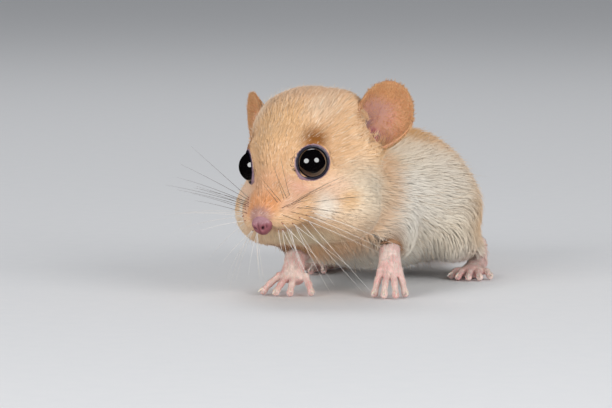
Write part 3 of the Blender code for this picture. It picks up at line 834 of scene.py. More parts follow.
# %% Press the face into shape
PRESSES = [
    # points in the head's frame, width and push in millimetres
    ([(3.0, -4.6, 0.4), (3.4, -3.4, 2.0)], 2.2, -0.9),
    ([(2.9, -8.4, -6.4)], 1.9, 0.55),
    ([(0.3, -9.4, -8.1), (1.7, -8.4, -8.6), (3.4, -5.7, -8.5), (5.2, -3.0, -7.8)], 0.95, -1.5),
    ([(0, -11.4, -7.2), (0, -10.6, -8.4)], 0.5, -0.5),
    ([(10.7, 10.4, -1.9), (11.8, 12.4, -1.5)], 2.4, 1.9),
    ([(9.2, 9.4, 1.4)], 2.0, 1.1),
]


def along_line(places, line):
    """The distance from each place to a line through points."""
    line = [np.array(point, float) for point in line]
    best = np.linalg.norm(places - line[0], axis=1)
    for start, end in zip(line, line[1:]):
        run = end - start
        share = np.clip((places - start) @ run / (run @ run), 0, 1)
        best = np.minimum(best, np.linalg.norm(places - (start + share[:, None] * run), axis=1))
    return best


in_head = seen_from(HEAD, points)
folded = in_head.copy()
folded[:, 0] = np.abs(folded[:, 0])
for line, wide, push in PRESSES:
    points = points + normals * (push * MM * np.exp(-((along_line(folded, line) / wide) ** 2)))[:, None]

# Round each eye the skin is a shallow cone, so that nothing hides the eyeball from the front.
for side in SIDES:
    matrix = eye_frame(side)
    turn = np.array(matrix.to_3x3())
    local = seen_from(matrix, points)
    away = np.linalg.norm(local[:, :2], axis=1)
    aim = 0.95 - 0.20 * np.maximum(away - 2.4, 0)
    share = (1 - near(away, 3.6, 6.2)) * (local[:, 2] > 0)
    local[:, 2] += np.minimum(aim - local[:, 2], 0) * share
    points = local @ turn.T * MM + np.array(matrix.translation)
points = spread(points, edges, 4, (1 - 0.7 * lid_near)[:, None])
print("presses on each side of the face:", len(PRESSES))

# %% [markdown]
# ## Ears
#
# The ear is a thin cup, wide above and folded in below, nearly bare inside and thinly haired
# outside and along its rim. Half a ball gives the cup. It is narrowed and deepened towards its
# root, a lobe and a fold are raised inside, and a Solidify modifier gives it a wall.

# %% Ear shells
EAR_HEIGHT, EAR_WIDTH, EAR_DEPTH, EAR_WALL = 10.8, 8.8, 3.2, 0.28


def ear_point(x, y, z, front):
    """Where a point of the half ball goes. front is +1 or -1, the side of the ear near the face."""
    height, deep = y, -z
    low = max(0.0, -height)
    narrow = 1.0 - 0.38 * low**1.5
    fold = 0.22 * abs(x) ** 3 * low
    inner = math.exp(-(((x * front - 0.05) / 0.16) ** 2) - (((height + 0.40) / 0.34) ** 2))
    lobe = math.exp(-(((x * front - 0.42) / 0.22) ** 2) - (((height + 0.66) / 0.24) ** 2))
    waves = 0.02 * math.sin(9 * x + 4 * height) * deep
    lift = 0.34 * inner + 0.50 * lobe
    return Vector(
        (
            x * EAR_WIDTH / 2 * narrow,
            (height - 0.45 * deep) * EAR_HEIGHT / 2,
            (-(max(0.0, deep) ** 1.6) * (1.0 + 0.5 * low) + fold + lift * deep + waves) * EAR_DEPTH,
        )
    )


ears = {}
for side, word in SIDES.items():
    work = bmesh.new()
    bmesh.ops.create_uvsphere(work, u_segments=96, v_segments=64, radius=1)
    bowl = work.verts[:] + work.edges[:] + work.faces[:]
    bmesh.ops.bisect_plane(
        work, geom=bowl, dist=1e-6, plane_co=(0, 0, 0.02), plane_no=(0, 0, 1), clear_outer=True
    )
    # Across the ear, +X of its frame points to the face on one side and away from it on the other.
    front = -side
    for vert in work.verts:
        vert.co = ear_point(*vert.co, front) * MM
    mesh = poured(work, "Ear")
    mesh.transform(ear_frame(side))
    ear = linked("ear_shell_" + word, mesh)
    wall = ear.modifiers.new("Wall", "SOLIDIFY")
    wall.thickness = EAR_WALL * MM
    wall.offset = 0
    ears[side] = applied(ear)
print("ear shells of", len(ears[1].data.polygons), "faces")

# %% [markdown]
# ## Room in the cups of the ears
#
# The head's rounded side would fill the lower part of each cup. A ray from each point of the skin
# towards the bottom of the cup tells whether the point is inside it. If so, the point moves behind
# the ear's wall and grows no hair. The same test later keeps hair out of the cups.

# %% Move the skin out of the ears
EAR_TREES = {
    side: BVHTree.FromPolygons(get(ear.data.vertices, "co", 3).tolist(), triangles(ear.data).tolist())
    for side, ear in ears.items()
}


def depth_in_cup(places, ceiling):
    """How far above the bottom of an ear's cup each place lies, in metres, or 0 outside the cups.
    The ceiling is the height in millimetres over the rim up to which a place counts as inside."""
    found = np.zeros(len(places))
    for side, tree in EAR_TREES.items():
        matrix = ear_frame(side)
        local = seen_from(matrix, places)
        in_box = np.abs(local + (0, 0, 2)) < (4.6, 6.5, 6)
        close = np.flatnonzero(in_box.all(axis=1))
        inwards = -matrix.to_3x3().col[2]
        for index in close:
            if local[index, 2] < ceiling:
                hit = tree.ray_cast(Vector(places[index]), inwards, 6 * MM)
                if hit[0] is not None and hit[1].dot(inwards) < 0:
                    found[index] = max(found[index], hit[3])
    return found


sunk = depth_in_cup(points, 0.8)
for side in SIDES:
    matrix = ear_frame(side)
    inside = (sunk > 0) & (np.linalg.norm(points - np.array(matrix.translation), axis=1) < 9 * MM)
    push = np.where(inside, sunk + (EAR_WALL + 0.2) * MM, 0.0)
    density = density * (1 - np.clip(2 * spread(inside.astype(float), edges, 2), 0, 1))
    points = points - np.outer(push, np.array(matrix.to_3x3().col[2]))
normals = moved(skin, points)
print("points of the skin moved out of the ears:", int(np.sum(sunk > 0)))

# %% [markdown]
# ## The lie of the coat
#
# Hair grows away from the nose: back over the forehead, round the eyes, along the body and down
# the legs, and out along the tail. This is a direction for each vertex of the skin. It could be
# combed by hand, but a rule for each part, averaged over the skin, is shorter and has no seams.

# %% A direction for the hair at each vertex
WAYS = {
    "neck": (0.0, 1.0, -0.30),
    "torso": (0.0, 1.0, -0.32),
    "foreleg": (0.0, -0.10, -1.0),
    "hindleg": (0.0, 0.35, -0.94),
}
lie = np.zeros_like(points)
for index, name in enumerate(names):
    here = region == index
    if name.startswith("tail"):
        lie[here] = tail_way[tail_at[here]]
    elif name == "head":
        flow = unit(in_head[here] - np.array((0, -13.5, -4.0)))
        flow[:, 2] -= 0.35 * near(np.abs(in_head[here, 0]), 4, 11)
        flow[:, 1] += 0.25
        lie[here] = unit(flow) @ np.array(HEAD.to_3x3()).T
    else:
        lie[here] = WAYS[name.split("_")[0]]
lie = unit(spread(lie, edges, 30))
for side in SIDES:
    apart = points - np.array(eye_middle[side])
    gap = np.linalg.norm(apart, axis=1, keepdims=True)
    outward = apart / gap
    heading = np.sum(lie * outward, axis=1, keepdims=True)
    turn_away = (1 - near(gap / MM, 3.2, 7.0)) * np.clip(-heading, 0, 1) * 1.25
    lie = lie + outward * turn_away


def along_surface(ways, across):
    """Directions laid into the surface whose normals are given."""
    return unit(ways - np.sum(ways * across, axis=1, keepdims=True) * across)


# The flat end of a leg, hidden by its paw, grows no hair.
legs = np.isin(region, [names.index(n) for n in names if "leg" in n])
stump = near(np.sum(lie * normals, axis=1), 0.45, 0.75) * legs
density = density * (1 - stump)
# Below the belly and at the rear the coat is seen least, so fewer tufts are spent there.
below = near(-normals[:, 2], 0.1, 0.7)
rear = near((points[:, 1] - SHIFT.y) / MM, 0, 20)
density = density * (1 - 0.45 * below * (1 - on_the_head)) * (1 - 0.25 * rear)
lie = along_surface(lie, normals)
print("the coat has its lie")

# %% [markdown]
# ## Tufts of hair
#
# Blender's own hair can't be exported as a mesh, so each tuft is a small closed mesh: a flat
# three-sided blade with a root, a bend and a point, ten triangles in all. It starts in the skin,
# follows the lie of the coat round the body's curve and ends at the coat's outer surface. All
# tufts of a piece are worked out at once as arrays, which takes seconds instead of minutes.

# %% Sowing tufts on a surface
TUFT_FACES = np.array(
    [(0, 1, 4), (0, 4, 3), (1, 2, 5), (1, 5, 4), (2, 0, 3), (2, 3, 5)]
    + [(3, 4, 6), (4, 5, 6), (5, 3, 6), (0, 2, 1)]
)
TUFT_PATCH = np.array([(-1, -1), (1, -1), (0, -0.6), (-1, 0), (1, 0), (0, 0.4), (0, 1)]) * 0.0015
TUFT_ALONG = np.array([0, 0, 0, 0.5, 0.5, 0.5, 1.0])
MAX_TUFTS = 19_000
ROOT_DEPTH = 0.10 * MM
GUARD_HAIRS = 0.03
TUFTS_TO_A_CLUMP = 14
THIN = 1.0


def unwrapped(thing):
    """Lays a mesh out flat in a UV map, from its own shape."""
    bpy.context.view_layer.objects.active = thing
    thing.select_set(True)
    thing.data.uv_layers.new(name="OFBake")
    bpy.ops.object.mode_set(mode="EDIT")
    bpy.ops.mesh.select_all(action="SELECT")
    bpy.ops.uv.smart_project(angle_limit=1.15, island_margin=0.002)
    bpy.ops.object.mode_set(mode="OBJECT")
    thing.select_set(False)
    return thing


class Ground:
    """A surface that hair grows on, as arrays, with a tree to find its nearest point."""

    def __init__(self, thing):
        mesh = thing.data
        self.points = get(mesh.vertices, "co", 3)
        self.normals = get(mesh.vertices, "normal", 3)
        self.faces = triangles(mesh)
        loops = get(mesh.loop_triangles, "loops", 3, np.int32)
        self.map = get(mesh.uv_layers["OFBake"].data, "uv", 2)[loops]
        self.tree = BVHTree.FromPolygons(self.points.tolist(), self.faces.tolist())

    def settled(self, places):
        """The nearest point of the surface to each place, and its triangle."""
        found = [self.tree.find_nearest(place) for place in places.tolist()]
        return np.array([hit[0] for hit in found]), np.array([hit[2] for hit in found])


def sown(ground, lie, length, height, width, density, seed, clump=0.0, scatter=0.2, keep_out=None):
    """Tufts over a ground. Sizes are in millimetres and the density in tufts on a square
    millimetre, each as one number or as one for each vertex."""
    chance = np.random.default_rng(seed)
    plain = np.zeros(len(ground.points))
    length, height, width, density = (plain + size for size in (length, height, width, density))
    faces = ground.faces
    corner = ground.points[faces] / MM
    area = np.linalg.norm(np.cross(corner[:, 1] - corner[:, 0], corner[:, 2] - corner[:, 0]), axis=1) / 2
    want = np.cumsum(area * density[faces].mean(1) * THIN)
    count = int(want[-1])
    marks = (np.arange(count) + chance.random(count)) * want[-1] / count
    face = np.searchsorted(want, marks).clip(0, len(faces) - 1)
    a, b = chance.random((2, count))
    beyond = a + b > 1
    a[beyond], b[beyond] = 1 - a[beyond], 1 - b[beyond]
    share = np.stack((1 - a - b, a, b), axis=1)

    def read(values):
        return np.einsum("ij,ij...->i...", share, values[faces[face]])

    root = read(ground.points)
    normal = unit(read(ground.normals))
    waver = np.sin(root @ chance.normal(0, 900, (3, 3)) + chance.random(3) * 6) * scatter
    way = read(lie) + waver + chance.normal(0, scatter, (count, 3))
    way = along_surface(way, normal)
    long = read(length) * chance.uniform(0.7, 1.25, count) * MM
    high = read(height) * chance.uniform(0.52, 1.08, count) * MM
    wide = read(width) * chance.uniform(0.75, 1.25, count) * MM
    guard = chance.random(count) < GUARD_HAIRS
    high[guard] *= 1.35
    wide[guard] *= 0.55

    face_normal = unit(ground.normals[faces].mean(1))
    face_lie = lie[faces].mean(1)
    bend, bend_face = ground.settled(root + way * long[:, None] / 2)
    bend_normal = face_normal[bend_face]
    bend_way = along_surface(face_lie[bend_face] + 0.6 * way, bend_normal)
    tip, tip_face = ground.settled(bend + bend_way * long[:, None] / 2)
    tip_normal = face_normal[tip_face]
    # A hair that comes to an edge goes straight on instead of turning round it.
    over = np.sum(bend_normal * normal, axis=1) < 0.35
    bend[over] = (root + way * long[:, None] / 2)[over]
    bend_normal[over] = normal[over]
    over |= np.sum(tip_normal * normal, axis=1) < 0.2
    tip[over] = (bend + (bend - root) * 0.6)[over]
    tip_normal[over] = normal[over]

    foot = root - normal * ROOT_DEPTH
    bend = bend + bend_normal * high[:, None] * 0.72
    tip = tip + tip_normal * high[:, None]
    if clump > 0 and count > 60:
        leaders = chance.choice(count, max(8, count // TUFTS_TO_A_CLUMP), replace=False)
        lookup = KDTree(len(leaders))
        for index, leader in enumerate(leaders):
            lookup.insert(root[leader], index)
        lookup.balance()
        leader_of = leaders[[lookup.find(place)[1] for place in root.tolist()]]
        gap = np.linalg.norm(root[leader_of] - root, axis=1, keepdims=True)
        pull = clump * np.exp(-((gap / (0.5 * long[:, None])) ** 2))
        tip += (tip[leader_of] - tip) * pull
        bend += (bend[leader_of] - bend) * pull * 0.4

    side = unit(np.cross(normal, way))
    side_on = unit(np.cross(bend_normal, tip - foot))
    half = wide[:, None] / 2
    ring = np.stack(
        (
            foot - side * half,
            foot + side * half,
            foot + normal * half * 0.5,
            bend - side_on * half * 0.85,
            bend + side_on * half * 0.85,
            bend + bend_normal * half * 0.4,
            tip,
        ),
        axis=1,
    )
    leaning = np.stack((-side, side, normal, -side_on, side_on, bend_normal, tip_normal), axis=1)
    ground_normal = np.stack((normal,) * 3 + (bend_normal,) * 3 + (tip_normal,), axis=1)
    ground_normal[over] *= 0.3
    tufts = {
        "normal": leaning * 0.32 + ground_normal,
        "ring": ring,
        "root": root,
        "tone": chance.random(count),
        "map": np.einsum("ij,ijk->ik", share, ground.map[face]),
        "face": face,
    }
    keep = np.ones(count, bool)
    for places in (root, bend, tip) if keep_out else ():
        keep &= ~keep_out(places)
    return {key: value[keep] for key, value in tufts.items()}


def tuft_piece(name, tufts, finish, slot, soft=False):
    """One piece of the coat from some of the tufts. Soft ones are shaded like the skin below."""
    count = len(tufts["root"])
    mesh = bpy.data.meshes.new(name)
    mesh.vertices.add(count * 7)
    mesh.vertices.foreach_set("co", tufts["ring"].ravel())
    corners = (TUFT_FACES[None] + 7 * np.arange(count)[:, None, None]).reshape(-1, 3)
    mesh.loops.add(corners.size)
    mesh.loops.foreach_set("vertex_index", corners.ravel().astype(np.int32))
    mesh.polygons.add(len(corners))
    mesh.polygons.foreach_set("loop_start", np.arange(0, corners.size, 3, dtype=np.int32))
    mesh.update(calc_edges=True)
    flat = mesh.uv_layers.new(name="OFBake")
    patch = tufts["map"][:, None] + TUFT_PATCH[TUFT_FACES.ravel()][None]
    flat.data.foreach_set("uv", patch.ravel())
    per_vertex = {
        "root": ("FLOAT_VECTOR", "vector", np.repeat(tufts["root"], 7, axis=0)),
        "along": ("FLOAT", "value", np.tile(TUFT_ALONG, count)),
        "tone": ("FLOAT", "value", np.repeat(tufts["tone"], 7)),
    }
    for key, (kind, field, values) in per_vertex.items():
        mesh.attributes.new(key, kind, "POINT").data.foreach_set(field, values.ravel())
    dressed(linked(name, mesh), finish, slot)
    if soft:
        mesh.normals_split_custom_set_from_vertices(unit(tufts["normal"].reshape(-1, 3)))


unwrapped(skin)
print("ready to sow, in pieces of at most", MAX_TUFTS, "tufts")

# %% [markdown]
# ## The finish of the coat
#
# A hair is darker at its root and paler at its tip, and no two are alike. Each tuft carries its
# root's place, a number for its own tone, and how far along it a point is. The material takes the
# markings and the painted shade at the root, and lightens or darkens them by those two numbers.

# %% Coat and skin materials
coat_finish = Finish(
    "Golden coat", Roughness=0.62, Specular_IOR_Level=0.25, Sheen_Weight=0.12, Sheen_Roughness=0.45
)
colour = markings_and_painted_shade(coat_finish, coat_finish.attribute("root", 1))
tone = coat_finish.attribute("tone", 2)
along = coat_finish.attribute("along", 2)
colour = coat_finish.mix(coat_finish.step(tone, 0.82, 1.0) * 0.4, colour, tint(250, 238, 218))
colour = coat_finish.mix(coat_finish.step(tone, 0.14, 0.0) * 0.3, colour, tint(150, 104, 72))
shade = 0.86 + 0.16 * along + 0.08 * tone
brightness = coat_finish.node("ShaderNodeCombineColor", {}, {0: shade, 1: shade, 2: shade})
colour = coat_finish.mix(1.0, colour, brightness, "MULTIPLY")
coat_finish.feed("Base Color", colour)

skin_finish = Finish("Skin under the coat", Roughness=0.75, Specular_IOR_Level=0.2)
skin_place = skin_finish.place()
skin_colour = markings_and_painted_shade(skin_finish, skin_place)
pore = skin_finish.noise(skin_place, 2500, 2.0)
skin_colour = skin_finish.mix(0.05 + 0.25 * pore, skin_colour, tint(186, 144, 108))
skin_finish.feed("Base Color", skin_colour)
skin_finish.bump(pore, 0.4, 0.1 * MM)
dressed(skin, skin_finish, "coat", *COATED)
print("coat and skin have", len(coat_finish.tree.nodes), "and", len(skin_finish.tree.nodes), "nodes")

# %% [markdown]
# ## The coat
#
# Hair is sown over the whole skin, and left out over the eyes, on the bare nose and in the cups
# of the ears. The tufts are then shared out among pieces by the part of the body they grow on.

# %% Sow the coat
# In millimetres: the radii of the patches without hair, and how far hair stays off the floor.
BARE_NOSE, BARE_EYE, OFF_FLOOR = 1.45, 2.66, 0.15


def bare(places):
    """True for places on the nose, in front of an eye, in the cup of an ear or at the floor."""
    # The bare patch lies a little lower than the middle of the nose, as the camera sees it.
    nose_middle = np.array(on_head(NOSE_AT)) - np.array(up) * 0.5 * MM
    found = np.linalg.norm(places - nose_middle, axis=1) < BARE_NOSE * MM
    for side in SIDES:
        local = seen_from(eye_frame(side), places)
        found |= (np.linalg.norm(local[:, :2], axis=1) < BARE_EYE) & (local[:, 2] > 0)
    found |= places[:, 2] < OFF_FLOOR * MM
    found |= depth_in_cup(places, 0.3) > 0
    return found


skin_ground = Ground(skin)
coat = sown(skin_ground, lie, length, depth, width, density, 7, clump=0.16, scatter=0.16, keep_out=bare)
part_of_face = region[skin_ground.faces[coat["face"]][:, 0]]
coat_pieces = 0
for part in ("head", "neck", "torso", "foreleg", "hindleg", "tail"):
    members = [index for index, name in enumerate(names) if name.startswith(part)]
    chosen = np.flatnonzero(np.isin(part_of_face, members))
    shares = np.array_split(chosen, max(1, math.ceil(len(chosen) / MAX_TUFTS)))
    for number, picked in enumerate(shares, 1):
        some = {key: value[picked] for key, value in coat.items()}
        tuft_piece(f"coat_{part}_{number}", some, coat_finish, "coat", soft=True)
        coat_pieces += 1
print("tufts in the coat:", len(coat["root"]), "in", coat_pieces, "pieces")
print("triangles of the coat:", len(coat["root"]) * len(TUFT_FACES))

# %% [markdown]
# ## Fuzz
#
# Against the light, single fine hairs stand clear of the coat on the crown, the cheeks and the
# back. They are sown thinly, longer and steeper than the rest, and they are pale.

# %% Fine hairs that stand out
fuzz = Finish("Fuzz", Roughness=0.5)
fuzz.feed("Base Color", fuzz.mix(fuzz.attribute("tone", 2), tint(226, 192, 152), tint(250, 236, 216)))
few = np.where(legs, 0.0, 1.0) * (1 - lid_near) * near(length, 1.2, 2.2)
stray = sown(skin_ground, lie, length * 0.9 + 0.6, depth + 0.9, 0.04, few, 8, scatter=0.3, keep_out=bare)
tuft_piece("coat_fuzz", stray, fuzz, "coat")
print("single hairs:", len(stray["root"]))

# %% [markdown]
# ## Eyes and lids
#
# The eye of a nocturnal animal is large and almost wholly dark. A glossy ball would do, but a
# real one bulges a little more in front, and thin lids close round it: a narrow blue-grey rim
# that shines, and paler skin outside it. Each lid is one closed ring with that profile.

# %% Eyeballs
EYE_RADIUS = 2.63 * MM
CORNEA_BULGE = 0.10 * MM

eye_finish = Finish(
    "Eye", Roughness=0.03, Base_Color=tint(8, 6, 8), IOR=1.6, Coat_Weight=1.0, Coat_Roughness=0.01
)
for side, word in SIDES.items():
    matrix = eye_frame(side)
    work = bmesh.new()
    bmesh.ops.create_uvsphere(work, u_segments=72, v_segments=48, radius=EYE_RADIUS)
    for vert in work.verts:
        front = max(0.0, vert.co.z / EYE_RADIUS)
        vert.co += vert.co.normalized() * CORNEA_BULGE * front**3
    mesh = poured(work, "Eyeball")
    mesh.transform(matrix)
    dressed(linked("eyeball_" + word, mesh), eye_finish, "eye", "eye_" + word)
print("eyeball radius", EYE_RADIUS / MM, "mm")

# %% Lids
LID_OPENING = 2.40
LID_PROFILE = [
    # step out from the opening and step up from the eyeball, in millimetres
    (0.02, -0.28),
    (-0.02, -0.02),
    (0.05, 0.07),
    (0.14, 0.09),
    (0.24, 0.03),
    (0.33, 0.02),
    (0.44, -0.06),
    (0.58, -0.24),
    (0.80, -0.55),
    (0.95, -0.95),
    (0.60, -1.10),
    (0.20, -0.80),
]
LID_STEPS = 96


def ring_mesh(name, rows):
    """A closed ring from rows of points that each go once round its section."""
    steps, across = len(rows), len(rows[0])
    faces = []
    for i in range(steps):
        here, ahead = i * across, (i + 1) % steps * across
        for j in range(across):
            k = (j + 1) % across
            faces.append((here + j, ahead + j, ahead + k, here + k))
    return closed_mesh(name, [point for row in rows for point in row], faces)


for side, word in SIDES.items():
    matrix = eye_frame(side)
    nose_way = (matrix.inverted() @ on_head(NOSE_AT)).to_2d()
    corner_at = math.atan2(nose_way.y, nose_way.x)
    rows = []
    for step in range(LID_STEPS):
        angle = 2 * math.pi * step / LID_STEPS
        apart = math.remainder(angle - corner_at, 2 * math.pi)
        opening = LID_OPENING + 0.26 * math.exp(-((apart / 0.28) ** 2)) + 0.05 * math.cos(2 * apart)
        base_at = math.sqrt((EYE_RADIUS / MM) ** 2 - LID_OPENING**2) + 0.03
        crease = 0.02 * math.sin(17 * angle) + 0.015 * math.sin(29 * angle + 1)
        row = []
        for out, rise in LID_PROFILE:
            away = opening + out
            up_there = base_at + rise + (crease if 0.3 < out < 1.0 else 0.0)
            row.append(Vector((math.cos(angle) * away, math.sin(angle) * away, up_there)) * MM)
        rows.append(row)
    mesh = ring_mesh("Lid", rows)
    lid_finish = Finish("Lid " + word, Roughness=0.32)
    local = lid_finish.within(lid_finish.place(), matrix)
    radius = lid_finish.vector("LENGTH", lid_finish.vector("MULTIPLY", local, (1, 1, 0)), output=1)
    fine = lid_finish.noise(local, 3.5, 3.0)
    dark = lid_finish.step(radius + 0.2 * fine, 2.96, 2.80)
    pale = lid_finish.mix(fine, tint(122, 104, 128), tint(178, 144, 146))
    lid_finish.feed("Base Color", lid_finish.mix(dark, pale, tint(30, 27, 44)))
    lid_finish.bump(fine, 0.3, 0.05 * MM)
    mesh.transform(matrix)
    dressed(linked("lid_" + word, mesh), lid_finish, "nose_skin")
print("lids of", LID_STEPS, "steps")

# %% [markdown]
# ## The nose
#
# The tip of the nose is bare, moist and purplish pink, with a nostril like a comma on each side
# and a groove down the middle. It is a small form with soft dents, so a dense ball is pushed in
# where the dents are. The nostrils, the creases beside them and the groove are also painted dark,
# as painted shade in these dents.

# %% Nose
NOSE_RADII = Vector((1.8, 1.5, 1.7))

work = bmesh.new()
poles_on_y = Matrix.Rotation(math.pi / 2, 4, "X")
bmesh.ops.create_uvsphere(work, u_segments=96, v_segments=64, radius=1, matrix=poles_on_y)
# How much painted shade each point gets, in the nostrils, the creases beside them and the groove.
painted_shade_in_dents = []
for vert in work.verts:
    x, y, z = vert.co
    size = 1.0 + 0.10 * math.exp(-(((abs(x) - 0.62) / 0.3) ** 2) - ((z + 0.1) / 0.5) ** 2)
    groove = math.exp(-((x / 0.10) ** 2)) * max(0.0, -y)
    if z >= 0.25:
        groove *= math.exp(-(((z - 0.25) / 0.2) ** 2))
    curve = 0.42 + 0.22 * max(0.0, z + 0.15)
    slit = math.exp(-(((abs(x) - curve) / 0.15) ** 2) - (((z + 0.12) / 0.24) ** 2)) * max(0.0, -y)
    wing = math.exp(-(((abs(x) - 0.78) / 0.11) ** 2) - (((z + 0.02) / 0.3) ** 2)) * max(0.0, -y + 0.2)
    size -= 0.20 * groove + 0.55 * slit + 0.22 * wing
    size += 0.10 * math.exp(-(((abs(x) - 0.50) / 0.26) ** 2) - (((z - 0.32) / 0.3) ** 2))
    lower = 1.0 - 0.42 * max(0.0, -z)
    painted_shade_in_dents.append(min(1.0, slit * 1.3 + wing * 0.7 + groove * 0.45))
    vert.co = Vector((x * NOSE_RADII.x * lower, y * NOSE_RADII.y, z * NOSE_RADII.z)) * size * MM
mesh = poured(work, "Nose")
mesh.attributes.new("slit", "FLOAT", "POINT").data.foreach_set("value", painted_shade_in_dents)
mesh.transform(HEAD @ Matrix.Translation(Vector(NOSE_AT) * MM + Vector((0, 0.25, 0)) * MM))
nose_finish = Finish("Nose skin", Roughness=0.38)
nose_place = nose_finish.place()
pebble_sockets = {"Vector": nose_place, "Scale": 5200.0, "Smoothness": 0.6}
pebbles = nose_finish.node("ShaderNodeTexVoronoi", {"feature": "SMOOTH_F1"}, pebble_sockets)
blush = nose_finish.noise(nose_place, 700, 2.0)
nose_height = nose_finish.parted(nose_finish.within(nose_place, HEAD))[2]
low_down = nose_finish.step(nose_height + 0.8 * blush, -4.6, -6.0)
nose_colour = nose_finish.mix(low_down, tint(180, 140, 146), tint(152, 92, 98))
nose_colour = nose_finish.mix(pebbles * 0.4, nose_colour, tint(120, 66, 76))
# Painted shade, dark purple, in the nostrils, the creases beside them and the middle groove.
dent_shade_mask = nose_finish.step(nose_finish.attribute("slit", 2), 0.25, 0.8)
nose_finish.feed("Base Color", nose_finish.mix(dent_shade_mask * 0.85, nose_colour, tint(58, 24, 34)))
nose_finish.bump(pebbles, 0.35, 0.05 * MM)
dressed(linked("nose_tip", mesh), nose_finish, "nose_skin", "nose")
print("nose tip of", len(mesh.polygons), "faces")

# %% [markdown]
# ## Skin of the ears
#
# Inside, an ear is mauve and brown, purple at its root and nearly white on the lobe. Outside it is
# orange. The same soft spots as on the head are used, in the ear's own frame.

# %% Finish of the ears
EAR_MARKS = [
    # middle in the ear's frame with X towards the face, radii in millimetres, strength and colour
    ((0.6, 3.8, 0), (5.5, 3.2, 4), 0.85, tint(206, 150, 100)),
    ((-3.6, 0.6, 0), (2.6, 5.5, 4), 0.8, tint(216, 160, 112)),
    ((1.4, 0.4, -2), (3.2, 2.8, 3), 0.8, tint(184, 142, 130)),
    ((2.6, -2.0, -2), (1.8, 1.8, 3), 0.85, tint(140, 110, 122)),
    ((0.6, -3.4, -3), (1.7, 1.2, 3), 0.9, tint(176, 96, 120)),
    ((2.0, -4.4, -3), (1.4, 1.2, 3), 0.95, tint(232, 214, 222)),
]
for side, word in SIDES.items():
    finish = Finish(
        "Ear skin " + word,
        Roughness=0.55,
        Specular_IOR_Level=0.3,
        Subsurface_Weight=0.35,
        Subsurface_Radius=(1.0, 0.4, 0.25),
        Subsurface_Scale=0.8 * MM,
    )
    local = finish.within(finish.place(), ear_frame(side))
    facing = finish.vector("MULTIPLY", local, (-side, 1, 1))
    cloud = finish.noise(local, 0.9, 3.0)
    colour = finish.mix(cloud, tint(206, 156, 130), tint(190, 134, 112))
    colour = finish.painted(colour, facing, EAR_MARKS, 1.2, 0.2)
    flat = finish.vector("MULTIPLY", local, (2 / EAR_WIDTH, 2 / EAR_HEIGHT, 0))
    at_edge = finish.step(finish.vector("LENGTH", flat, output=1), 0.84, 1.0)
    colour = finish.mix(at_edge * 0.5, colour, tint(206, 150, 104))
    veins = finish.noise(finish.vector("MULTIPLY", local, (1.6, 0.5, 1)), 1.3, 4.0)
    colour = finish.mix(finish.step(veins, 0.55, 0.68) * 0.35, colour, tint(150, 74, 70))
    finish.feed("Base Color", colour)
    finish.bump(finish.noise(local, 7.0, 3.0), 0.25, 0.08 * MM)
    dressed(ears[side], finish, "ear_skin", "ear_" + word)
print("ears have", len(EAR_MARKS), "marks")

# %% [markdown]
# ## Hair on the ears
#
# Short orange hair covers the back of each ear and its rim, and thins out towards the middle of
# the cup. It is a little longer on the lower rear rim, which it softens.

# %% Ear hair
ear_coat = Finish("Ear hair", Roughness=0.6, Specular_IOR_Level=0.25)
hair_tone = ear_coat.attribute("tone", 2)
hair_along = ear_coat.attribute("along", 2)
hair_colour = ear_coat.mix(hair_tone, tint(204, 142, 90), tint(234, 184, 134))
hair_height = ear_coat.parted(ear_coat.within(ear_coat.attribute("root", 1), HEAD))[2]
peach = ear_coat.step(hair_height, 1.5, -2.0)
hair_colour = ear_coat.mix(peach * 0.7, hair_colour, tint(246, 198, 148))
ear_coat.feed("Base Color", ear_coat.mix(hair_along * 0.3, hair_colour, tint(244, 206, 160)))

for side, word in SIDES.items():
    ground = Ground(unwrapped(ears[side]))
    matrix = ear_frame(side)
    turn = np.array(matrix.to_3x3())
    local = seen_from(matrix, ground.points)
    facing = ground.normals @ turn
    upward = np.tile(turn[:, 1], (len(local), 1))
    outward = unit(local * (1, 1, 0.2)) @ turn.T
    rising = 0.6 * near(local[:, 1:2], -2.5, 0.5)
    ear_lie = along_surface(upward * rising + outward * 0.8, ground.normals)
    flat = (local[:, :2] + (0, 0.6)) / (EAR_WIDTH / 2, EAR_HEIGHT / 2)
    outside = near(-facing[:, 2], -0.1, 0.35)
    rim = near(np.linalg.norm(flat, axis=1), 0.72, 1.0)
    far_side = near(local[:, 0] * side, 0.5, 3.5)
    top = near(local[:, 1], 0.5, 4.5)
    amount = np.clip(outside + rim * 0.9 + 0.5 * np.maximum(top, far_side) + 0.05, 0, 1)
    many = 38.0 * np.clip(amount + 0.1, 0, 1)
    low_rear = near(-local[:, 1], 0.2, 3.4) * far_side * rim
    long, high = 0.8 + 0.9 * low_rear, 0.16 + 0.2 * low_rear
    hairs = sown(ground, ear_lie, long, high, 0.065, many, 20 + side, clump=0.1)
    tuft_piece("ear_hair_" + word, hairs, ear_coat, "ear_skin")
    print("hairs on the", word, "ear:", len(hairs["root"]))

# %% [markdown]
# ## Fur at the roots of the ears
#
# The lower and the front rim of each ear are buried in fur, brown at the notch and peach below.
# These longer hairs grow from the head round the ear and lean over its rim towards the cup.

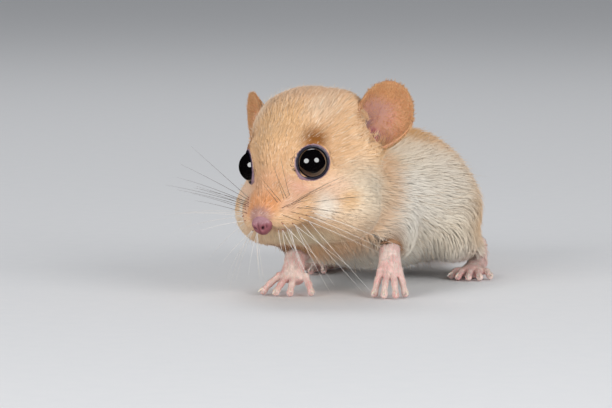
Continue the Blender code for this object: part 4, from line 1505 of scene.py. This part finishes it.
# %% Ear root fur
brush = Finish("Ear root fur", Roughness=0.6, Specular_IOR_Level=0.25)
brush_tone = brush.attribute("tone", 2)
root_along = brush.parted(brush.within(brush.attribute("root", 1), HEAD))[1]
rear_part = brush.step(root_along, 8.5, 12.0)
front_brush = brush.mix(brush.step(brush_tone, 0.1, 0.8), tint(190, 122, 70), tint(248, 214, 176))
rear_brush = brush.mix(brush_tone, tint(244, 184, 126), tint(253, 226, 190))
brush.feed("Base Color", brush.mix(rear_part, front_brush, rear_brush))
for side, word in SIDES.items():
    matrix = ear_frame(side)
    turn = np.array(matrix.to_3x3())
    local = seen_from(matrix, skin_ground.points)
    facing = -local[:, 0] * side
    reach_out = np.linalg.norm(local[:, :2] + (0, 0.8), axis=1)
    lower = near(-local[:, 1] + 0.35 * np.maximum(facing, 0), -0.6, 1.6)
    ring = near(reach_out, 3.2, 4.2) * (1 - near(reach_out, 6.0, 7.4)) * lower
    ring *= (local[:, 2] > -4.5) & (local[:, 2] < 4.0)
    to_cup = np.stack((-local[:, 0], -(local[:, 1] + 0.8), 0 * facing), axis=1)
    ways = unit(unit(to_cup) * (0.9, 0.55, 1) + (0.0, 0.45, 0.5)) @ turn.T
    ways = along_surface(ways, skin_ground.normals)
    hairs = sown(skin_ground, ways, 2.1, 1.0, 0.09, 28.0 * ring, 60 + side, clump=0.2)
    tuft_piece("ear_root_fur_" + word, hairs, brush, "coat", soft=True)
    print("hairs round the", word, "ear:", len(hairs["root"]))

# %% [markdown]
# ## Paws
#
# The hands have four fingers and the feet five toes, pink and almost bare, with a soft pad at
# each tip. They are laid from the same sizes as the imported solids, with thinner digits, a bulge
# at each joint and a finer voxel. Claws are separate, because horn is harder and clearer than skin.

# %% Digits and claws
DIGIT_RADIUS = 0.60
PAW_VOXEL = 0.13 * MM


def digit_path(knuckle, tip, arch):
    """Points along a bent digit that leaves the knuckle, arches and lands on its tip."""
    crest = (knuckle + tip) / 2 + Vector((0, 0, arch))
    return [
        knuckle * (1 - t) ** 2 + crest * 2 * t * (1 - t) + tip * t**2
        for t in (step / 12 for step in range(13))
    ]


def add_digit(clay, knuckle, tip, arch):
    """Adds a digit with swollen joints and an end pad."""
    path = digit_path(knuckle, tip, arch)
    for step, point in enumerate(path):
        t = step / 12
        joint = 0.10 * math.exp(-(((t - 0.12) / 0.1) ** 2)) + 0.13 * math.exp(-(((t - 0.55) / 0.09) ** 2))
        pad = 0.22 * math.exp(-(((t - 1.0) / 0.13) ** 2))
        size = DIGIT_RADIUS * (0.92 - 0.12 * t + joint + pad)
        add_ball(clay, point * MM, (size * MM,) * 3, BODY)
    return path[-1], (path[-1] - path[-4]).normalized()


def claw_rows(start, way):
    """Rings of a thin claw that curves down ahead of its digit."""
    level = Vector((way.x, way.y, 0)).normalized()
    across = Vector((-level.y, level.x, 0))
    rows = []
    for step in range(9):
        t = step / 8
        centre = start + level * (-0.25 + 1.65 * t) + Vector((0, 0, 0.36 + 0.16 * t - 0.62 * t**2.2))
        ahead = (level * 1.65 + Vector((0, 0, 0.16 - 1.36 * t**1.2))).normalized()
        upward = ahead.cross(across) * -1
        wide, tall = 0.24 * (1 - t) ** 0.7 + 0.02, 0.32 * (1 - t) ** 0.8 + 0.02
        rows.append(
            [
                on_body(centre + across * math.cos(a) * wide + upward * math.sin(a) * tall)
                for a in (2 * math.pi * k / 10 for k in range(10))
            ]
        )
    return rows


def horns(name, bundles):
    """Closed horns in one object, each from its rings of points."""
    points, faces = [], []
    for rows in bundles:
        start, count = len(points), len(rows[0])
        points += [point for row in rows for point in row]
        for i in range(len(rows) - 1):
            for j in range(count):
                a, b = start + i * count + j, start + i * count + (j + 1) % count
                faces.append((a, b, b + count, a + count))
        last = start + (len(rows) - 1) * count
        faces += [tuple(range(start + count - 1, start - 1, -1)), tuple(range(last, last + count))]
    return linked(name, closed_mesh(name, points, faces))


# %% Build the paws
HEADINGS = {1: math.radians(19), -1: math.radians(4)}
FINGERS = {
    1: ((-19, 2.9), (-6, 4.4), (6, 4.5), (19, 2.9)),
    -1: ((-26, 3.8), (-8, 4.5), (7, 4.5), (30, 3.6)),
}
TOES = ((-26, 2.9, 0.9), (-13, 3.9, 0.1), (0, 4.2, -0.1), (13, 4.0, 0.1), (27, 3.1, 1.0))
PAW_FLOOR = 0.12


def forepaw(side):
    """Clay and claws of a hand on its fingertips."""
    turn = Matrix.Rotation(HEADINGS[side], 3, "Z")
    wrist = WRISTS[side]
    knuckles = wrist + turn @ Vector((0, -2.7, -3.3))
    clay = []
    arm = [
        (wrist + Vector((-0.5 * side, 2.6, 0.6)), (1.6, 1.6, 1.6)),
        (wrist, (1.7, 1.65, 1.65)),
        (wrist.lerp(knuckles, 0.5), (1.85, 1.5, 1.4)),
        (knuckles, (2.2, 1.4, 1.0)),
    ]
    add_row(clay, arm, BODY, 12)
    heel = wrist + turn @ Vector((0, -0.6, -3.6))
    add_ball(clay, heel * MM, Vector((1.6, 1.1, 1.25)) * MM, BODY)
    claws = []
    for spread_angle, far in FINGERS[side]:
        angle = math.radians(spread_angle)
        root = knuckles + turn @ Vector((spread_angle * 0.080, -0.4 + abs(spread_angle) * 0.01, 0.05))
        way = turn @ Matrix.Rotation(angle, 3, "Z") @ Vector((0, -1, 0))
        tip = root + way * far
        tip.z = DIGIT_RADIUS + PAW_FLOOR
        claws.append(claw_rows(*add_digit(clay, root, tip, 0.45)))
        add_ball(clay, (root + Vector((0, 0, 0.25))) * MM, Vector((0.62, 0.75, 0.55)) * MM, BODY)
    return clay, claws


def hindfoot(side):
    """Clay and claws of a long foot flat on the floor."""
    heel, ball = mirrored(HEEL, side), mirrored(BALL, side)
    clay = []
    sole = [(heel, (1.7, 1.8, 1.5)), (heel.lerp(ball, 0.55), (1.6, 2.0, 1.25)), (ball, (2.25, 1.6, 1.05))]
    add_row(clay, sole, BODY, 14)
    ankle = [(heel, (1.6, 1.7, 1.5)), (heel + Vector((0, -0.8, 3.1)), (1.7, 1.9, 1.6))]
    add_row(clay, ankle, BODY, 7)
    forward = (ball - heel).normalized()
    forward.z = 0
    across = Matrix.Rotation(math.radians(90), 3, "Z") @ forward * side
    claws = []
    for spread_angle, far, behind in TOES:
        way = Matrix.Rotation(math.radians(spread_angle) * side, 3, "Z") @ forward
        root = ball + across * spread_angle * 0.072 - forward * behind
        root.z = 1.2
        tip = root + way * far
        tip.z = DIGIT_RADIUS + PAW_FLOOR
        claws.append(claw_rows(*add_digit(clay, root, tip, 0.75)))
    return clay, claws


def above_floor(thing, height):
    """Presses whatever reaches below a height up to it, as the floor does."""
    places = get(thing.data.vertices, "co", 3)
    places[:, 2] = np.maximum(places[:, 2], height)
    moved(thing, places)


HORN = tint(242, 228, 214), tint(222, 202, 184)
horn = clouded(
    "Claw horn", 1800, 2.0, *HORN, Roughness=0.3, Subsurface_Weight=0.3, Subsurface_Scale=0.4 * MM
)
paw_finish = Finish(
    "Paw skin",
    Roughness=0.48,
    Specular_IOR_Level=0.35,
    Subsurface_Weight=0.15,
    Subsurface_Radius=(1.0, 0.4, 0.3),
    Subsurface_Scale=0.7 * MM,
)
paw_place = paw_finish.place()
mottle = paw_finish.noise(paw_place, 420, 3.0)
wrinkle = paw_finish.noise(paw_finish.vector("MULTIPLY", paw_place, (1, 2.4, 2.4)), 1500, 3.0)
paw_colour = paw_finish.mix(paw_finish.step(mottle, 0.35, 0.65), tint(246, 220, 210), tint(230, 180, 174))
paw_colour = paw_finish.mix(paw_finish.step(wrinkle, 0.52, 0.66) * 0.3, paw_colour, tint(214, 156, 152))
paw_finish.feed("Base Color", paw_colour)
paw_finish.bump(wrinkle, 0.5, 0.12 * MM)

paws = {}
for kind, maker in (("forepaw", forepaw), ("hindfoot", hindfoot)):
    for side, word in SIDES.items():
        clay, claws = maker(side)
        paw = melted(pressed(f"{kind}_skin_{word}", clay), PAW_VOXEL, 4)
        nails = horns(f"{kind}_claws_{word}", claws)
        for thing in (paw, nails):
            above_floor(thing, 0.02 * MM)
        dressed(paw, paw_finish, "paw_skin", f"{kind}_{word}")
        dressed(nails, horn, "paw_skin")
        paws[kind, side] = paw
print("paws:", {key[0] + " " + SIDES[key[1]]: len(paw.data.polygons) for key, paw in paws.items()})

# %% [markdown]
# ## Hair on the paws
#
# Fine white hair lies along the backs of the digits and up to the wrist. It is short and sparse,
# so that the pink skin shows through.

# %% Paw hair
paw_coat = Finish("Paw hair", Roughness=0.55)
paw_tone = paw_coat.attribute("tone", 2)
paw_coat.feed("Base Color", paw_coat.mix(paw_tone, tint(226, 206, 190), tint(250, 244, 236)))
for (kind, side), paw in paws.items():
    ground = Ground(unwrapped(paw))
    if kind == "forepaw":
        way = Matrix.Rotation(HEADINGS[side], 3, "Z") @ Vector((0, -0.75, -0.65))
    else:
        way = (mirrored(BALL, side) - mirrored(HEEL, side)).normalized()
    ways = along_surface(np.tile(np.array(way), (len(ground.points), 1)), ground.normals)
    topside = near(ground.normals[:, 2], -0.1, 0.5)
    hairs = sown(ground, ways, 1.1, 0.18, 0.055, 16.0 * topside, 40 + side)
    tuft_piece(f"{kind}_hair_{SIDES[side]}", hairs, paw_coat, "paw_skin")
    print("hairs on the", SIDES[side], kind, len(hairs["root"]))

# %% [markdown]
# ## Whiskers
#
# Whiskers grow in rows from a pad on each side of the muzzle, longest at the back. The upper ones
# are dark and the lower ones white. Each is a tapered tube along a curve that droops towards its
# tip, and a small dark mound marks the place where it leaves the skin.

# %% Whiskers
WHISKER_RADIUS = 0.045
WHISKER_STEPS = 14


def tube(points, radii, sides=5):
    """Rings round a line, narrowing to its end."""
    rows = []
    angles = [2 * math.pi * k / sides for k in range(sides)]
    reference = Vector((0.3, 0.2, 1)).normalized()
    for step, (point, radius) in enumerate(zip(points, radii)):
        ahead = (points[min(step + 1, len(points) - 1)] - points[max(step - 1, 0)]).normalized()
        across = ahead.cross(reference).normalized()
        over = across.cross(ahead)
        rows.append([point + (across * math.cos(a) + over * math.sin(a)) * radius for a in angles])
    return rows


chance = np.random.default_rng(99)
dark_hair = clouded("Dark whiskers", 300, 3.0, tint(58, 44, 38), tint(98, 76, 62), Roughness=0.4)
root_skin = clouded("Whisker roots", 900, 3.0, tint(176, 96, 74), tint(120, 70, 58), Roughness=0.5)
WHITES = tint(244, 240, 234), tint(214, 206, 198)
white_hair = clouded("White whiskers", 300, 3.0, *WHITES, Roughness=0.35)
ROWS = {
    # for each side: height, forward and rear ends of the row, and the whiskers' heading, in the
    # head's frame with X outwards; then length in millimetres and colour
    1: [
        (-3.8, (2.7, -8.1), (3.8, -6.2), (-0.40, -0.35, 0.90), 8.0, "dark"),
        (-4.6, (2.9, -8.4), (4.6, -5.4), (0.80, 0.10, 0.20), 8.0, "dark"),
        (-5.5, (3.0, -8.7), (5.3, -4.4), (0.90, 0.05, -0.38), 11.0, "dark"),
        (-6.4, (2.9, -8.8), (5.4, -4.6), (0.85, -0.10, -0.62), 14.0, "white"),
        (-7.2, (2.5, -8.6), (5.0, -5.0), (0.55, -0.35, -0.85), 12.0, "white"),
        (-7.8, (1.7, -8.8), (3.4, -6.4), (0.18, -0.55, -0.95), 9.0, "white"),
    ],
    -1: [
        (-3.9, (2.8, -8.2), (4.4, -5.0), (0.62, -0.45, 0.62), 12.0, "dark"),
        (-4.9, (3.0, -8.6), (5.2, -4.4), (0.80, -0.35, 0.38), 14.0, "dark"),
        (-5.9, (3.0, -8.8), (5.6, -4.4), (0.88, -0.25, 0.06), 15.0, "white"),
        (-6.9, (2.6, -8.6), (5.2, -4.8), (0.75, -0.35, -0.50), 12.0, "white"),
        (-7.7, (1.8, -8.8), (3.8, -6.0), (0.40, -0.45, -0.85), 9.0, "white"),
    ],
}
for side, word in SIDES.items():
    groups = {"dark": [], "white": []}
    follicles = []
    for height, front, rear, heading, reach, shade in ROWS[side]:
        for k in range(5):
            t = k / 4
            x = front[0] + (rear[0] - front[0]) * t
            y = front[1] + (rear[1] - front[1]) * t
            guess = on_head((side * x, y, height + chance.uniform(-0.15, 0.15)))
            place, normal, _, _ = skin_ground.tree.find_nearest(guess)
            way = Vector(heading) + Vector((0.15 * t, 0.5 * t, 0))
            way = (HEAD.to_3x3() @ mirrored(way, side)).normalized()
            outward = (way + normal * 0.25 + Vector(chance.normal(0, 0.10, 3))).normalized()
            long = reach * (0.75 + 0.45 * t + chance.uniform(-0.1, 0.15)) * MM
            sag = Vector((0, 0, -0.16)) + HEAD.to_3x3() @ Vector((0, 0.20, 0))
            line = [
                place + outward * long * s + sag * long * s * s
                for s in (i / (WHISKER_STEPS - 1) for i in range(WHISKER_STEPS))
            ]
            line = [Vector((p.x, p.y, max(p.z, 0.25 * MM))) for p in line]
            thick = WHISKER_RADIUS * (1.0 if shade == "white" else 0.85) * MM
            radii = [thick * (1 - 0.85 * i / (WHISKER_STEPS - 1)) for i in range(WHISKER_STEPS)]
            groups[shade].append(tube(line, radii))
            start, end = place - normal * 0.1 * MM, place + outward * 0.55 * MM
            follicles.append(tube([start, end], [0.16 * MM, 0.05 * MM], 6))
    for shade, finish in (("dark", dark_hair), ("white", white_hair)):
        dressed(horns(f"whiskers_{shade}_{word}", groups[shade]), finish, "coat")
    dressed(horns("whisker_roots_" + word, follicles), root_skin, "coat")
print("rows of whiskers:", {SIDES[side]: len(rows) for side, rows in ROWS.items()})

# %% [markdown]
# ## The size, and the end
#
# The box of the dressed animal is printed in millimetres.

# %% Sizes, and the end
low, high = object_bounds()
print("box of the dressed animal, mm:", [round((b - a) / MM, 1) for a, b in zip(low, high)])
